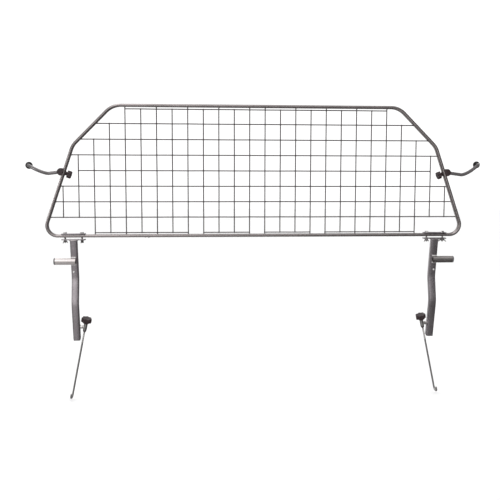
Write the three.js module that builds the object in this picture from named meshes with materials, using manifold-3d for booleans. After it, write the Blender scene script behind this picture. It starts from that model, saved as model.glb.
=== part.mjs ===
// Car dog guard: a bent tube frame round a welded wire mesh, two clamped side arms with rubber pads,
// and two bolted legs that each carry a stub tube and a tensioned hook rod.
// Millimetres, +Z up. X runs across the car and Y away from the viewer. The origin lies on the
// underside of the bottom rail at mid length.
import * as THREE from 'three';
import { mergeVertices } from 'three/addons/utils/BufferGeometryUtils.js';
import Module from 'manifold-3d';

const wasm = await Module();
wasm.setup();

// Clearances, overruns and the fineness of round faces
const seatGap = 0.3;
const runningPlay = 0.15;
const cutOver = 2;
const samePoint = 0.001;
const boltHolePlay = 0.3;
const roundSides = 16;
const rodSides = 10;
const pinSides = 12;
const cornerSteps = 2;
const innerCornerSteps = 1;

// Frame tube: a flat oval tube, bent to a closed loop. Heights are above the bottom rail's centre line.
const railThick = 10;
const railDeep = 20;
const railWall = 1.5;
const railCorner = 4.8;
const bottomHalf = 691.8;
const shoulderHalf = 591.6;
const shoulderRise = 290.4;
const topHalf = 465;
const topRise = 417.5;
const bottomBend = 34;
const shoulderBend = 60;
const topBend = 65;
const bottomBendSteps = 7;
const shoulderBendSteps = 3;
const topBendSteps = 5;

// Welded mesh. Columns are counted from the middle outwards and rows from the bottom up.
const wireSpacing = 50;
const wireThick = 3;
const setDownShare = 0.25;
const wireTail = 2;
const bottomRowGap = 3.5;
const topRowDrop = 3.5;
const columnCount = 13;
const rowCount = 9;
const wireSides = 6;
const topRow = rowCount - 1;
const columnsToTopRail = [0, 2, 4, 6, 8];
const columnsToBottomRail = [0, 3, 4, 6, 8, 10];
const lastColumnOfTopRow = 8;
const bottomRowBreak = 3;

// Leg clamp: strap plate, bolts, leg plate and wing nuts
const plateLong = 76;
const plateDeep = 25;
const plateThick = 3;
const plateCorner = 3;
const boltSpacing = 54;
const boltThick = 6;
const boltLong = 31;
const boltTip = 0.6;
const headAcross = 10;
const headHigh = 4;
const legPlateGap = 5.5;
const plateFromBend = 11.50158429;
const hubTopRadius = 5.6;
const hubFootRadius = 4.2;
const hubHigh = 6.5;
const wingReach = 13;
const wingThick = 1.8;
const wingOutlineShares = [
  [0, -0.1], [0.36, -0.16], [0.66, -0.62], [0.92, -0.98], [1, -1.28],
  [0.93, -1.56], [0.78, -1.6], [0.5, -1.12], [0.3, -0.92], [0, -0.86],
];
const wingTurnAngles = { left: [78, 64], right: [38, -32] };

// Leg: a square tube whose centre line runs back, forward and back again below the plate
const legThick = 22;
const legWall = 1.5;
const legCorner = 2.6;
const kneeDrop = 138;
const kneeBack = 24;
const shinDrop = 218;
const shinBack = 6;
const legEndDrop = 340;
const legEndBack = 33;
const legBend = 55;
const legBendSteps = 3;
const plugRim = 2;
const plugSpigotLong = 10;
const plugSpigotWall = 1.4;

// Stub tube, lapped on the front of the leg
const stubThick = 22;
const stubWall = 1.5;
const stubLong = 65;
const stubInset = 6.3;
const stubDrop = 77;
const stubCapRim = 4.5;
const stubCapRound = 1.2;
const stubSpigotLong = 9;

// Foot of the leg: boss, swivelling sleeve, bush, knob and hook rod. Along the rod, places are
// measured from the sleeve's middle.
const pivotDrop = 298;
const bossRadius = 6;
const bossLong = 8.5;
const sleeveRadius = 6.2;
const sleeveHalf = 11.5;
const sleeveChamfer = 0.8;
const collarRadius = 4.6;
const collarLong = 8.6;
const pinThick = 6;
const pinPastWall = 4.5;
const clipThick = 1.5;
const clipRadius = 6.5;
const rodThick = 6;
const rodLeanAngle = 12;
const rodTiltAngles = { left: 12.2, right: 14.8 };
const bushRadius = 5.4;
const bushLong = 5;
const rodAboveSleeve = 7;
const rodReach = 262;
const hookRadius = 9;
const hookTip = 9;
const hookTurnAngle = 80;
const hookSteps = 10;
const footKnobRadius = 18.5;
const footKnobThick = 15;
const footKnobNeckRadius = 8;
const footKnobNeck = 5;
const footKnobLid = 2.5;
const insertRadius = 4.8;
const insertLong = 9;
const knobLobes = 7;
const knobLobeShare = 0.2;
const knobLobeSteps = 4;
const knobRound = 2.2;

// Side arm: saddle block on the outer side of the frame tube, stud with knob on the inner side
const clampRow = 4;
const clampBelowRow = 7;
const blockRadius = 12;
const blockOut = 8.5;
const blockDeep = 26;
const blockChamfer = 1.6;
const saddleLip = 4.4;
const captiveNutAcross = 10;
const captiveNutThick = 4;
const washerRadius = 7.5;
const washerThick = 1.5;
const armKnobRadius = 13.5;
const armKnobThick = 13.5;
const armKnobNeckRadius = 5.8;
const armKnobNeck = 4.6;
const studInKnob = 12;
const armThick = 11;
const armSlopeAngle = 7.4;
const armInBlock = 7.5;
const leftArmKinkReach = 41.5;
const rightArmKinkReach = 53.5;
const armSpan = 73.4;
const armBack = 66;
const leftArmRise = 21;
const rightArmRise = 27.3;
const armEndStraight = 12;
const armSteps = 17;
const armControlShares = [[0.42, 0.16, -0.05], [0.84, 0.42, 0.85]];
const padRadius = 11.6;
const padThick = 6.5;
const padRound = 1.8;
const padCollarRadius = 7.6;
const padCollar = 7;
const padFloor = 4;

// Sizes worked out from those above
const railCentre = railThick / 2;
const plateTop = -legPlateGap;
const legTop = plateTop - plateThick;
const sideAngle = Math.atan2(bottomHalf - shoulderHalf, shoulderRise);
const cornerBendLong = bottomBend * Math.tan((Math.PI / 2 + sideAngle) / 2);
const legOut = bottomHalf - cornerBendLong - plateFromBend - plateLong / 2;
const boltRadius = boltThick / 2;
const boltHole = boltRadius + boltHolePlay;
const rodRadius = rodThick / 2;
const armRadius = armThick / 2;
const insideTube = legThick / 2 - legWall;
const rowHeight = (row) => railThick + bottomRowGap + wireThick / 2 + row * wireSpacing
  - (row === topRow ? topRowDrop : 0);
const columnPlace = (column) => (column + 0.5) * wireSpacing;
const clampHeight = rowHeight(clampRow) - clampBelowRow;

const finishes = {
  frameTube: new THREE.MeshStandardMaterial({ color: 0x77757a, roughness: 0.38, metalness: 0.7 }),
  wire: new THREE.MeshStandardMaterial({ color: 0x858388, roughness: 0.42, metalness: 0.7 }),
  arm: new THREE.MeshStandardMaterial({ color: 0xa5a3a6, roughness: 0.28, metalness: 0.85 }),
  zinc: new THREE.MeshStandardMaterial({ color: 0xb4b2b2, roughness: 0.35, metalness: 0.9 }),
  brass: new THREE.MeshStandardMaterial({ color: 0xb08d4a, roughness: 0.35, metalness: 0.95 }),
  blackPlastic: new THREE.MeshStandardMaterial({ color: 0x1c1a1b, roughness: 0.5, metalness: 0 }),
  greyPlastic: new THREE.MeshStandardMaterial({ color: 0x6d6b6e, roughness: 0.55, metalness: 0 }),
  rubber: new THREE.MeshStandardMaterial({ color: 0x171616, roughness: 0.75, metalness: 0 }),
};

const degrees = (angle) => THREE.MathUtils.degToRad(angle);

// Solids and geometries

function signedVolume(position, index) {
  const [a, b, c] = [new THREE.Vector3(), new THREE.Vector3(), new THREE.Vector3()];
  let sum = 0;
  for (let i = 0; i < index.length; i += 3) {
    a.fromArray(position, index[i] * 3);
    b.fromArray(position, index[i + 1] * 3);
    c.fromArray(position, index[i + 2] * 3);
    sum += a.dot(b.cross(c));
  }
  return sum;
}

// Turns a closed geometry into a solid, with its faces pointing out.
function solid(geometry) {
  const bare = geometry.clone();
  bare.deleteAttribute('normal');
  bare.deleteAttribute('uv');
  const merged = mergeVertices(bare);
  const position = merged.attributes.position.array;
  const index = merged.index.array;
  const flip = signedVolume(position, index) < 0;
  const triangles = [];
  for (let i = 0; i < index.length; i += 3) {
    const [a, b, c] = [index[i], index[i + 1], index[i + 2]];
    if (a !== b && b !== c && c !== a) triangles.push(a, flip ? c : b, flip ? b : c);
  }
  return new wasm.Manifold(new wasm.Mesh({
    numProp: 3,
    vertProperties: new Float32Array(position),
    triVerts: new Uint32Array(triangles),
  }));
}

function geometryOf(body) {
  const mesh = body.getMesh();
  const geometry = new THREE.BufferGeometry();
  geometry.setAttribute('position', new THREE.BufferAttribute(mesh.vertProperties, 3));
  geometry.setIndex(new THREE.BufferAttribute(mesh.triVerts, 1));
  geometry.computeVertexNormals();
  return geometry;
}

// Joins the first geometry with the others in a list.
const joined = (pieces) => pieces.map(solid).reduce((whole, piece) => whole.add(piece));

const cut = (body, tools) => tools.reduce((rest, tool) => rest.subtract(solid(tool)), body);

function mirroredX(geometry) {
  const mirrored = geometry.clone();
  mirrored.scale(-1, 1, 1);
  const index = mirrored.index.array;
  for (let i = 0; i < index.length; i += 3) [index[i + 1], index[i + 2]] = [index[i + 2], index[i + 1]];
  mirrored.computeVertexNormals();
  return mirrored;
}

// A solid of revolution about Z from [radius, height] points.
function turned(points, sides = roundSides) {
  const profile = points.map(([radius, height]) => new THREE.Vector2(radius, height));
  const geometry = new THREE.LatheGeometry(profile, sides);
  geometry.rotateX(Math.PI / 2);
  return geometry;
}

// A rod along Z between two heights, with an optional chamfer at both ends.
function roundBar(radius, low, high, sides = roundSides, chamfer = 0) {
  const ends = chamfer > 0
    ? [[0, low], [radius - chamfer, low], [radius, low + chamfer],
      [radius, high - chamfer], [radius - chamfer, high], [0, high]]
    : [[0, low], [radius, low], [radius, high], [0, high]];
  return turned(ends, sides);
}

// A ring about Z between two heights.
function ring(outer, inner, low, high, sides = roundSides) {
  return turned([[inner, low], [outer, low], [outer, high], [inner, high], [inner, low]], sides);
}

// A geometry built along Z, laid along X instead.
const alongX = (geometry) => geometry.rotateY(Math.PI / 2);

// Sections and bent tubes

// Points of a rectangle with rounded corners, as [across, deep].
function roundedRectangle(width, depth, corner, steps) {
  const points = [];
  for (let quarter = 0; quarter < 4; quarter += 1) {
    const signX = quarter === 0 || quarter === 3 ? 1 : -1;
    const signY = quarter < 2 ? 1 : -1;
    for (let step = 0; step <= steps; step += 1) {
      const angle = (quarter + step / steps) * Math.PI / 2;
      points.push([
        signX * (width / 2 - corner) + corner * Math.cos(angle),
        signY * (depth / 2 - corner) + corner * Math.sin(angle),
      ]);
    }
  }
  return points;
}

function circleSection(radius, sides) {
  return Array.from({ length: sides }, (_, side) => {
    const angle = (side + 0.5) / sides * 2 * Math.PI;
    return [radius * Math.cos(angle), radius * Math.sin(angle)];
  });
}

// Rounds the corners of a flat path. Corners without a bend radius are kept as they are.
function bentPath(corners, closed) {
  const points = [];
  const addPoint = (point) => {
    const last = points.at(-1);
    if (!last || last.distanceTo(point) > samePoint) points.push(point);
  };
  corners.forEach(({ at, bend, steps }, i) => {
    const isEnd = !closed && (i === 0 || i === corners.length - 1);
    if (isEnd || !bend) {
      addPoint(at.clone());
      return;
    }
    const before = corners[(i + corners.length - 1) % corners.length].at;
    const after = corners[(i + 1) % corners.length].at;
    const along = at.clone().sub(before).normalize();
    const onward = after.clone().sub(at).normalize();
    const turn = Math.atan2(along.cross(onward), along.dot(onward));
    const tangent = bend * Math.tan(Math.abs(turn) / 2);
    const start = at.clone().addScaledVector(along, -tangent);
    const inward = new THREE.Vector2(-along.y, along.x).multiplyScalar(Math.sign(turn) * bend);
    const centre = start.clone().add(inward);
    for (let step = 0; step <= steps; step += 1) {
      addPoint(start.clone().rotateAround(centre, turn * step / steps));
    }
  });
  return points;
}

// The vector at each point of a flat path that offsets it by one unit to its left.
function mitres(path, closed, startCut, endCut) {
  const count = path.length;
  const normal = (from, to) => {
    const along = to.clone().sub(from).normalize();
    return new THREE.Vector2(-along.y, along.x);
  };
  return path.map((point, i) => {
    const before = i > 0 || closed ? normal(path[(i + count - 1) % count], point) : null;
    const after = i < count - 1 || closed ? normal(point, path[(i + 1) % count]) : null;
    if (before && after) return before.clone().add(after).divideScalar(1 + before.dot(after));
    const square = before ?? after;
    const plane = before ? endCut : startCut;
    return plane ? plane.clone().divideScalar(plane.dot(square)) : square;
  });
}

// Sweeps a convex section along a flat path in the XZ plane. The section's first value lies in
// the plane, to the left of the path, and its second along Y.
function swept(path, section, { closed = false, startCut = null, endCut = null } = {}) {
  const offsets = mitres(path, closed, startCut, endCut);
  const position = [];
  path.forEach((point, i) => section.forEach(([across, deep]) => {
    position.push(point.x + offsets[i].x * across, deep, point.y + offsets[i].y * across);
  }));
  const size = section.length;
  const spans = closed ? path.length : path.length - 1;
  const index = [];
  for (let span = 0; span < spans; span += 1) {
    const next = (span + 1) % path.length;
    for (let side = 0; side < size; side += 1) {
      const turn = (side + 1) % size;
      const [a, b, c, d] = [span * size + side, span * size + turn, next * size + turn, next * size + side];
      index.push(a, b, c, a, c, d);
    }
  }
  const last = (path.length - 1) * size;
  for (let side = 1; !closed && side < size - 1; side += 1) {
    index.push(0, side + 1, side, last, last + side, last + side + 1);
  }
  const geometry = new THREE.BufferGeometry();
  geometry.setAttribute('position', new THREE.Float32BufferAttribute(position, 3));
  geometry.setIndex(index);
  return geometry;
}

// Frame

function frameCorners(inset = 0) {
  const half = [
    { at: [bottomHalf, 0], bend: bottomBend, steps: bottomBendSteps },
    { at: [shoulderHalf, shoulderRise], bend: shoulderBend, steps: shoulderBendSteps },
    { at: [topHalf, topRise], bend: topBend, steps: topBendSteps },
  ];
  const otherHalf = half.map(({ at: [x, z], ...bend }) => ({ at: [-x, z], ...bend })).reverse();
  const corners = [...half, ...otherHalf].map(({ at: [x, z], bend, steps }) => ({
    at: new THREE.Vector2(x, railCentre + z), bend: bend - inset, steps,
  }));
  const offsets = mitres(corners.map(({ at }) => at), true);
  corners.forEach(({ at }, i) => at.addScaledVector(offsets[i], inset));
  return corners;
}

// Distance of the frame's side from the middle, on the straight centre lines at a height.
function sideHalfAt(height) {
  const rise = height - railCentre;
  if (rise < shoulderRise) return bottomHalf - (bottomHalf - shoulderHalf) * rise / shoulderRise;
  return shoulderHalf - (shoulderHalf - topHalf) * (rise - shoulderRise) / (topRise - shoulderRise);
}

function frameTube() {
  const path = bentPath(frameCorners(), true);
  const outer = roundedRectangle(railThick, railDeep, railCorner, cornerSteps);
  const inner = roundedRectangle(
    railThick - 2 * railWall, railDeep - 2 * railWall, railCorner - railWall, innerCornerSteps,
  );
  const holes = [];
  for (const side of [1, -1]) {
    for (const place of [1, -1]) {
      const hole = roundBar(boltHole, -cutOver, railThick + cutOver, pinSides);
      holes.push(hole.translate(side * legOut + place * boltSpacing / 2, 0, 0));
    }
    const studHole = alongX(roundBar(boltHole, -railThick, railThick, pinSides));
    studHole.rotateY(-side * sideAngle);
    holes.push(studHole.translate(side * sideHalfAt(clampHeight), 0, clampHeight));
  }
  const tube = solid(swept(path, outer, { closed: true }))
    .subtract(solid(swept(path, inner, { closed: true })));
  return geometryOf(cut(tube, holes));
}

// Wire mesh

const layerOffset = wireThick * (1 - setDownShare) / 2;

// The last column whose crossing and wire ends keep clear of a place across the mesh
const columnBefore = (place) => Math.floor((place - wireThick / 2 - wireTail) / wireSpacing - 0.5);

// The bottom row and the columns that reach it stop short of the strap plate.
const lastColumnOfBottomRow = columnBefore(legOut - plateLong / 2);

// How far in the arm knob's head reaches, the height of its middle, and half its height with a wire's room
const knobLean = Math.abs(Math.sin(sideAngle));
const knobDeep = railThick / 2 + 2 * seatGap + washerThick + armKnobNeck + armKnobThick;
const knobEdge = sideHalfAt(clampHeight) - knobDeep * Math.cos(sideAngle) - armKnobRadius * knobLean;
const knobHeight = clampHeight - (knobDeep - armKnobThick / 2) * Math.sin(sideAngle);
const knobHalfHigh = armKnobRadius * Math.cos(sideAngle) + armKnobThick / 2 * knobLean + wireThick;
const isBesideKnob = (height) => Math.abs(height - knobHeight) < knobHalfHigh;

// The highest row that a column crosses inside the sloping tube and below the arm knob
function topRowOfColumn(column) {
  const edge = columnPlace(column) + wireThick / 2;
  const isBlocked = (row) => edge > sideHalfAt(rowHeight(row)) - railThick / 2
    || (edge > knobEdge && rowHeight(row) + wireTail > knobHeight - knobHalfHigh);
  let row = topRow;
  while (row > 0 && isBlocked(row)) row -= 1;
  return row;
}

// How far from the middle a row's wire reaches: to the tube, or to its last column where it stops short
function reachOfRow(row) {
  const end = (column) => columnPlace(column) + wireTail;
  if (row === topRow) return end(lastColumnOfTopRow);
  return isBesideKnob(rowHeight(row)) ? end(columnBefore(knobEdge)) : bottomHalf;
}

// A wire with a six-sided section whose flats face the viewer, built along Z.
function wire(length) {
  const acrossCorners = wireThick / Math.cos(Math.PI / wireSides);
  return roundBar(acrossCorners / 2, -length / 2, length / 2, wireSides).rotateZ(Math.PI / wireSides);
}

function uprightWire(x, low, high) {
  return wire(high - low).translate(x, -layerOffset, (low + high) / 2);
}

function crossWire(height, low, high) {
  return alongX(wire(high - low)).translate((low + high) / 2, layerOffset, height);
}

function wiresOfMesh() {
  const wires = [];
  const frameTop = railCentre + topRise;
  for (let column = 0; column < columnCount; column += 1) {
    const lowRow = column > lastColumnOfBottomRow ? 1 : 0;
    const highRow = topRowOfColumn(column);
    const isOnRail = columnsToBottomRail.includes(column) && lowRow === 0;
    const low = isOnRail ? 0 : rowHeight(lowRow) - wireTail;
    const high = columnsToTopRail.includes(column) ? frameTop : rowHeight(highRow) + wireTail;
    for (const side of [1, -1]) wires.push(uprightWire(side * columnPlace(column), low, high));
  }
  for (let row = 1; row < rowCount; row += 1) {
    wires.push(crossWire(rowHeight(row), -reachOfRow(row), reachOfRow(row)));
  }
  for (const [outer, inner] of [[lastColumnOfBottomRow, bottomRowBreak + 1], [bottomRowBreak, 0]]) {
    const low = columnPlace(inner) - wireTail;
    const high = columnPlace(outer) + wireTail;
    wires.push(crossWire(rowHeight(0), low, high), crossWire(rowHeight(0), -high, -low));
  }
  return wires;
}

// The wires, joined where they cross and trimmed just inside the frame tube.
function meshPanel() {
  const outline = new THREE.Shape(bentPath(frameCorners(railThick / 2 + seatGap), true));
  const inside = new THREE.ExtrudeGeometry(outline, { depth: railDeep, bevelEnabled: false });
  inside.translate(0, 0, -railDeep / 2);
  inside.rotateX(Math.PI / 2);
  return geometryOf(joined(wiresOfMesh()).intersect(solid(inside)));
}

// Leg clamp

// A plate with rounded corners and two bolt holes, with its top face at height 0.
function clampPlate() {
  const outline = new THREE.Shape();
  roundedRectangle(plateLong, plateDeep, plateCorner, cornerSteps).forEach(([x, y], i) => {
    if (i === 0) outline.moveTo(x, y);
    else outline.lineTo(x, y);
  });
  for (const place of [1, -1]) {
    const hole = new THREE.Path();
    hole.absarc(place * boltSpacing / 2, 0, boltHole, 0, 2 * Math.PI, true);
    outline.holes.push(hole);
  }
  const plate = new THREE.ExtrudeGeometry(outline, {
    depth: plateThick, bevelEnabled: false, curveSegments: pinSides / 2,
  });
  return geometryOf(solid(plate.translate(0, 0, -plateThick)));
}

// A hexagon bolt that hangs from height 0, where its head rests.
function clampBolt() {
  const headRadius = headAcross / 2 / Math.cos(Math.PI / 6);
  const head = roundBar(headRadius, 0, headHigh, 6);
  const shank = roundBar(boltRadius, -boltLong, headHigh / 2, rodSides, boltTip);
  return geometryOf(joined([head, shank]));
}

// A wing nut that hangs below height 0, with its wings spread along X.
function wingNut() {
  const hub = turned([[0, 0], [hubTopRadius, 0], [hubFootRadius, -hubHigh], [0, -hubHigh]], pinSides);
  const wings = [1, -1].map((side) => {
    const outline = wingOutlineShares.map(([x, z]) => new THREE.Vector2(side * x * wingReach, z * hubHigh));
    const wing = new THREE.ExtrudeGeometry(new THREE.Shape(outline), {
      depth: wingThick, bevelEnabled: false,
    });
    return wing.translate(0, 0, -wingThick / 2).rotateX(Math.PI / 2);
  });
  const bore = roundBar(boltRadius + runningPlay, -hubHigh - cutOver, cutOver);
  return geometryOf(cut(joined([hub, ...wings]), [bore]));
}

// Leg

const legPath = (extra = 0) => {
  const knee = new THREE.Vector2(kneeBack, -kneeDrop);
  const shin = new THREE.Vector2(shinBack, -shinDrop);
  const top = new THREE.Vector2(0, legTop);
  const end = new THREE.Vector2(legEndBack, -legEndDrop);
  const upward = top.clone().sub(knee).normalize();
  const downward = end.clone().sub(shin).normalize();
  return [
    { at: top.addScaledVector(upward, extra) },
    { at: knee, bend: legBend, steps: legBendSteps },
    { at: shin, bend: legBend, steps: legBendSteps },
    { at: end.addScaledVector(downward, extra) },
  ];
};

// How far back the leg's centre line lies at a depth below the origin.
function legBackAt(drop) {
  if (drop < kneeDrop) return kneeBack * (drop + legTop) / (kneeDrop + legTop);
  if (drop < shinDrop) return kneeBack + (shinBack - kneeBack) * (drop - kneeDrop) / (shinDrop - kneeDrop);
  return shinBack + (legEndBack - shinBack) * (drop - shinDrop) / (legEndDrop - shinDrop);
}

const thighAngle = Math.atan2(kneeBack, kneeDrop + legTop);
const shinAngle = Math.atan2(legEndBack - shinBack, legEndDrop - shinDrop);
const pivotBack = legBackAt(pivotDrop);

// The leg tube is swept in the XZ plane and then turned so that the path runs in YZ.
function legTube() {
  const outer = roundedRectangle(legThick, legThick, legCorner, cornerSteps);
  const innerSize = legThick - 2 * legWall;
  const inner = roundedRectangle(innerSize, innerSize, legCorner - legWall, innerCornerSteps);
  const level = new THREE.Vector2(1, 0);
  const tube = solid(swept(bentPath(legPath(), false), outer, { startCut: level }).rotateZ(Math.PI / 2));
  const bore = swept(bentPath(legPath(cutOver), false), inner, { startCut: level }).rotateZ(Math.PI / 2);
  const pinHole = alongX(roundBar(pinThick / 2 + boltHolePlay, -legThick, -insideTube + cutOver, pinSides));
  return geometryOf(cut(tube, [bore, pinHole.translate(0, pivotBack, -pivotDrop)]));
}

// A plug for a square tube: its rim closes the end at height 0 and its hollow spigot points up.
function legPlug() {
  const rimOutline = roundedRectangle(legThick, legThick, legCorner, cornerSteps);
  const spigotSize = 2 * (insideTube - seatGap);
  const spigotOutline = roundedRectangle(spigotSize, spigotSize, legCorner - legWall, innerCornerSteps);
  const hollowSize = spigotSize - 2 * plugSpigotWall;
  const hollowOutline = roundedRectangle(hollowSize, hollowSize, plugSpigotWall / 2, innerCornerSteps);
  const block = (outline, low, high) => {
    const shape = new THREE.Shape(outline.map(([x, y]) => new THREE.Vector2(x, y)));
    return new THREE.ExtrudeGeometry(shape, { depth: high - low, bevelEnabled: false }).translate(0, 0, low);
  };
  const rim = block(rimOutline, -plugRim - seatGap, -seatGap);
  const spigot = block(spigotOutline, -plugRim / 2 - seatGap, plugSpigotLong);
  const hollow = block(hollowOutline, 0, plugSpigotLong + cutOver);
  return geometryOf(cut(joined([rim, spigot]), [hollow]));
}

// Stub tube along X, from its open inner end at 0
const stubTube = () => geometryOf(solid(alongX(
  ring(stubThick / 2, stubThick / 2 - stubWall, 0, stubLong),
)));

// Cap of the stub tube: a rim at its outer end and a hollow spigot inside it
function stubCap() {
  const radius = stubThick / 2;
  const spigot = radius - stubWall - seatGap;
  const floor = stubCapRim - stubWall;
  const cap = turned([
    [0, floor], [spigot - stubWall, floor], [spigot - stubWall, -stubSpigotLong],
    [spigot, -stubSpigotLong], [spigot, seatGap], [radius, seatGap],
    [radius, stubCapRim - stubCapRound], [radius - stubCapRound, stubCapRim], [0, stubCapRim],
  ]);
  return geometryOf(solid(alongX(cap.translate(0, 0, stubLong))));
}

// Foot of the leg. Every piece is built for the right-hand side.

const sleeveOut = legOut - legThick / 2 - bossLong - seatGap - collarLong;
const legFaceFromSleeve = legOut - legThick / 2 - sleeveOut;
const bushLow = -sleeveHalf - seatGap - bushLong;
const neckLow = sleeveHalf + seatGap;
const headLow = neckLow + footKnobNeck;
const rodHole = rodRadius + runningPlay;

function pivotBoss() {
  const low = legFaceFromSleeve - bossLong;
  const boss = ring(bossRadius, pinThick / 2 + runningPlay, low, legFaceFromSleeve, pinSides);
  return geometryOf(solid(alongX(boss)));
}

// Tilts a geometry built along the rod, as the sleeve is welded to its pin.
const tilted = (geometry, tilt) => geometry.rotateY(-degrees(tilt));

function footSleeve(tilt) {
  const tube = tilted(roundBar(sleeveRadius, -sleeveHalf, sleeveHalf, roundSides, sleeveChamfer), tilt);
  const collar = alongX(roundBar(collarRadius, 0, collarLong, pinSides));
  const pinEnd = legFaceFromSleeve + legWall + pinPastWall;
  const pin = alongX(roundBar(pinThick / 2, 0, pinEnd, pinSides));
  const bore = tilted(roundBar(rodHole, -2 * sleeveHalf, 2 * sleeveHalf), tilt);
  return geometryOf(cut(joined([tube, collar, pin]), [bore]));
}

function pivotClip() {
  const low = legFaceFromSleeve + legWall + seatGap;
  const clip = ring(clipRadius, pinThick / 2 + runningPlay, low, low + clipThick, pinSides);
  return geometryOf(solid(alongX(clip)));
}

const rodBush = () => geometryOf(solid(ring(bushRadius, rodHole, bushLow, bushLow + bushLong)));

// Outline of a star grip with rounded lobes
function starShape(radius) {
  const count = knobLobes * knobLobeSteps;
  const points = Array.from({ length: count }, (_, i) => {
    const angle = i / count * 2 * Math.PI;
    const dip = knobLobeShare * (0.5 - 0.5 * Math.cos(knobLobes * angle)) ** 1.5;
    const reach = (radius - knobRound) * (1 - dip);
    return new THREE.Vector2(reach * Math.cos(angle), reach * Math.sin(angle));
  });
  return new THREE.Shape(points);
}

// A star head along Z with rounded rims
function starHead(radius, low, thick) {
  const head = new THREE.ExtrudeGeometry(starShape(radius), {
    depth: thick - 2 * knobRound, bevelThickness: knobRound, bevelSize: knobRound, bevelSegments: 1,
  });
  return head.translate(0, 0, low + knobRound);
}

function footKnob() {
  const head = starHead(footKnobRadius, headLow, footKnobThick);
  const neck = roundBar(footKnobNeckRadius, neckLow, headLow + knobRound);
  const rodSpace = roundBar(rodHole + seatGap, 0, headLow + footKnobThick - footKnobLid);
  const insertSpace = roundBar(insertRadius + seatGap, 0, neckLow + insertLong + seatGap);
  return geometryOf(cut(joined([head, neck]), [rodSpace, insertSpace]));
}

const knobInsert = () => geometryOf(solid(
  ring(insertRadius, rodHole, neckLow, neckLow + insertLong, pinSides),
));

// The hook lies in the plane that hookTurnAngle gives, with its tip towards the viewer.
function hookRod() {
  const bendTop = -rodReach + hookRadius;
  const path = bentPath([
    { at: new THREE.Vector2(0, sleeveHalf + rodAboveSleeve) },
    { at: new THREE.Vector2(0, -rodReach), bend: hookRadius, steps: hookSteps / 2 },
    { at: new THREE.Vector2(2 * hookRadius, -rodReach), bend: hookRadius, steps: hookSteps / 2 },
    { at: new THREE.Vector2(2 * hookRadius, bendTop + hookTip) },
  ], false);
  return geometryOf(solid(swept(path, circleSection(rodRadius, rodSides)).rotateZ(-degrees(hookTurnAngle))));
}

// Side arm clamp, built with X outwards along the stud and Z along the frame tube

const tubeFace = railThick / 2;
const armTurn = sideAngle + degrees(armSlopeAngle);
const armEndInBlock = blockRadius - armInBlock;
const studTip = blockOut + (armEndInBlock - Math.sin(armTurn) * boltRadius) / Math.cos(armTurn) - seatGap;

// Lays a geometry built along Z on the arm's own axis, as seen from the clamp.
const onArmAxis = (geometry) => alongX(geometry).rotateY(armTurn).translate(blockOut, 0, 0);

function armBlock() {
  const barrel = roundBar(blockRadius, -blockDeep / 2, blockDeep / 2, roundSides, blockChamfer);
  barrel.rotateX(Math.PI / 2).translate(blockOut, 0, 0);
  const behind = new THREE.BoxGeometry(2 * blockRadius, blockDeep + cutOver, 2 * blockRadius + cutOver);
  behind.translate(tubeFace - saddleLip - blockRadius, 0, 0);
  const saddle = new THREE.BoxGeometry(
    railThick + 2 * seatGap, railDeep + 2 * seatGap, 2 * blockRadius + cutOver,
  );
  const pocketRadius = captiveNutAcross / 2 / Math.cos(Math.PI / 6) + seatGap;
  const pocket = alongX(roundBar(pocketRadius, 0, tubeFace + captiveNutThick + 3 * seatGap, 6));
  const studSpace = alongX(roundBar(boltHole, 0, blockOut + armEndInBlock));
  const armSpace = onArmAxis(roundBar(armRadius + runningPlay, armEndInBlock - seatGap, 2 * blockRadius));
  return geometryOf(cut(solid(barrel), [behind, saddle, pocket, studSpace, armSpace]));
}

function captiveNut() {
  const low = tubeFace + 2 * seatGap;
  const nut = roundBar(captiveNutAcross / 2 / Math.cos(Math.PI / 6), low, low + captiveNutThick, 6);
  const bore = roundBar(boltRadius + runningPlay, 0, 2 * blockRadius);
  return geometryOf(cut(solid(alongX(nut)), [alongX(bore)]));
}

const washerFace = -tubeFace - seatGap;
const armNeckFace = washerFace - washerThick - seatGap;
const armHeadFace = armNeckFace - armKnobNeck;

const armWasher = () => geometryOf(solid(alongX(
  ring(washerRadius, boltRadius + runningPlay, washerFace - washerThick, washerFace, pinSides),
)));

const armStud = () => geometryOf(solid(alongX(
  roundBar(boltRadius, armNeckFace - studInKnob, studTip, rodSides, boltTip),
)));

function armKnob() {
  const head = alongX(starHead(armKnobRadius, armHeadFace - armKnobThick, armKnobThick));
  const neck = alongX(roundBar(armKnobNeckRadius, armHeadFace - knobRound, armNeckFace));
  const studSpace = alongX(roundBar(boltRadius + seatGap, armNeckFace - studInKnob - seatGap, 0));
  return geometryOf(cut(joined([head, neck]), [studSpace]));
}

// Arm rod and pad, built from the middle of the saddle block with X outwards and Z up

const armWay = new THREE.Vector3(Math.cos(degrees(armSlopeAngle)), 0, -Math.sin(degrees(armSlopeAngle)));
const padFace = armBack + padFloor;

// Where an arm's kink and its outer end lie
function armPlaces(sideName) {
  const isLeft = sideName === 'left';
  const kink = armWay.clone().multiplyScalar(isLeft ? leftArmKinkReach : rightArmKinkReach);
  const end = new THREE.Vector3(kink.x + armSpan, armBack, isLeft ? leftArmRise : rightArmRise);
  return { kink, end };
}

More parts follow.
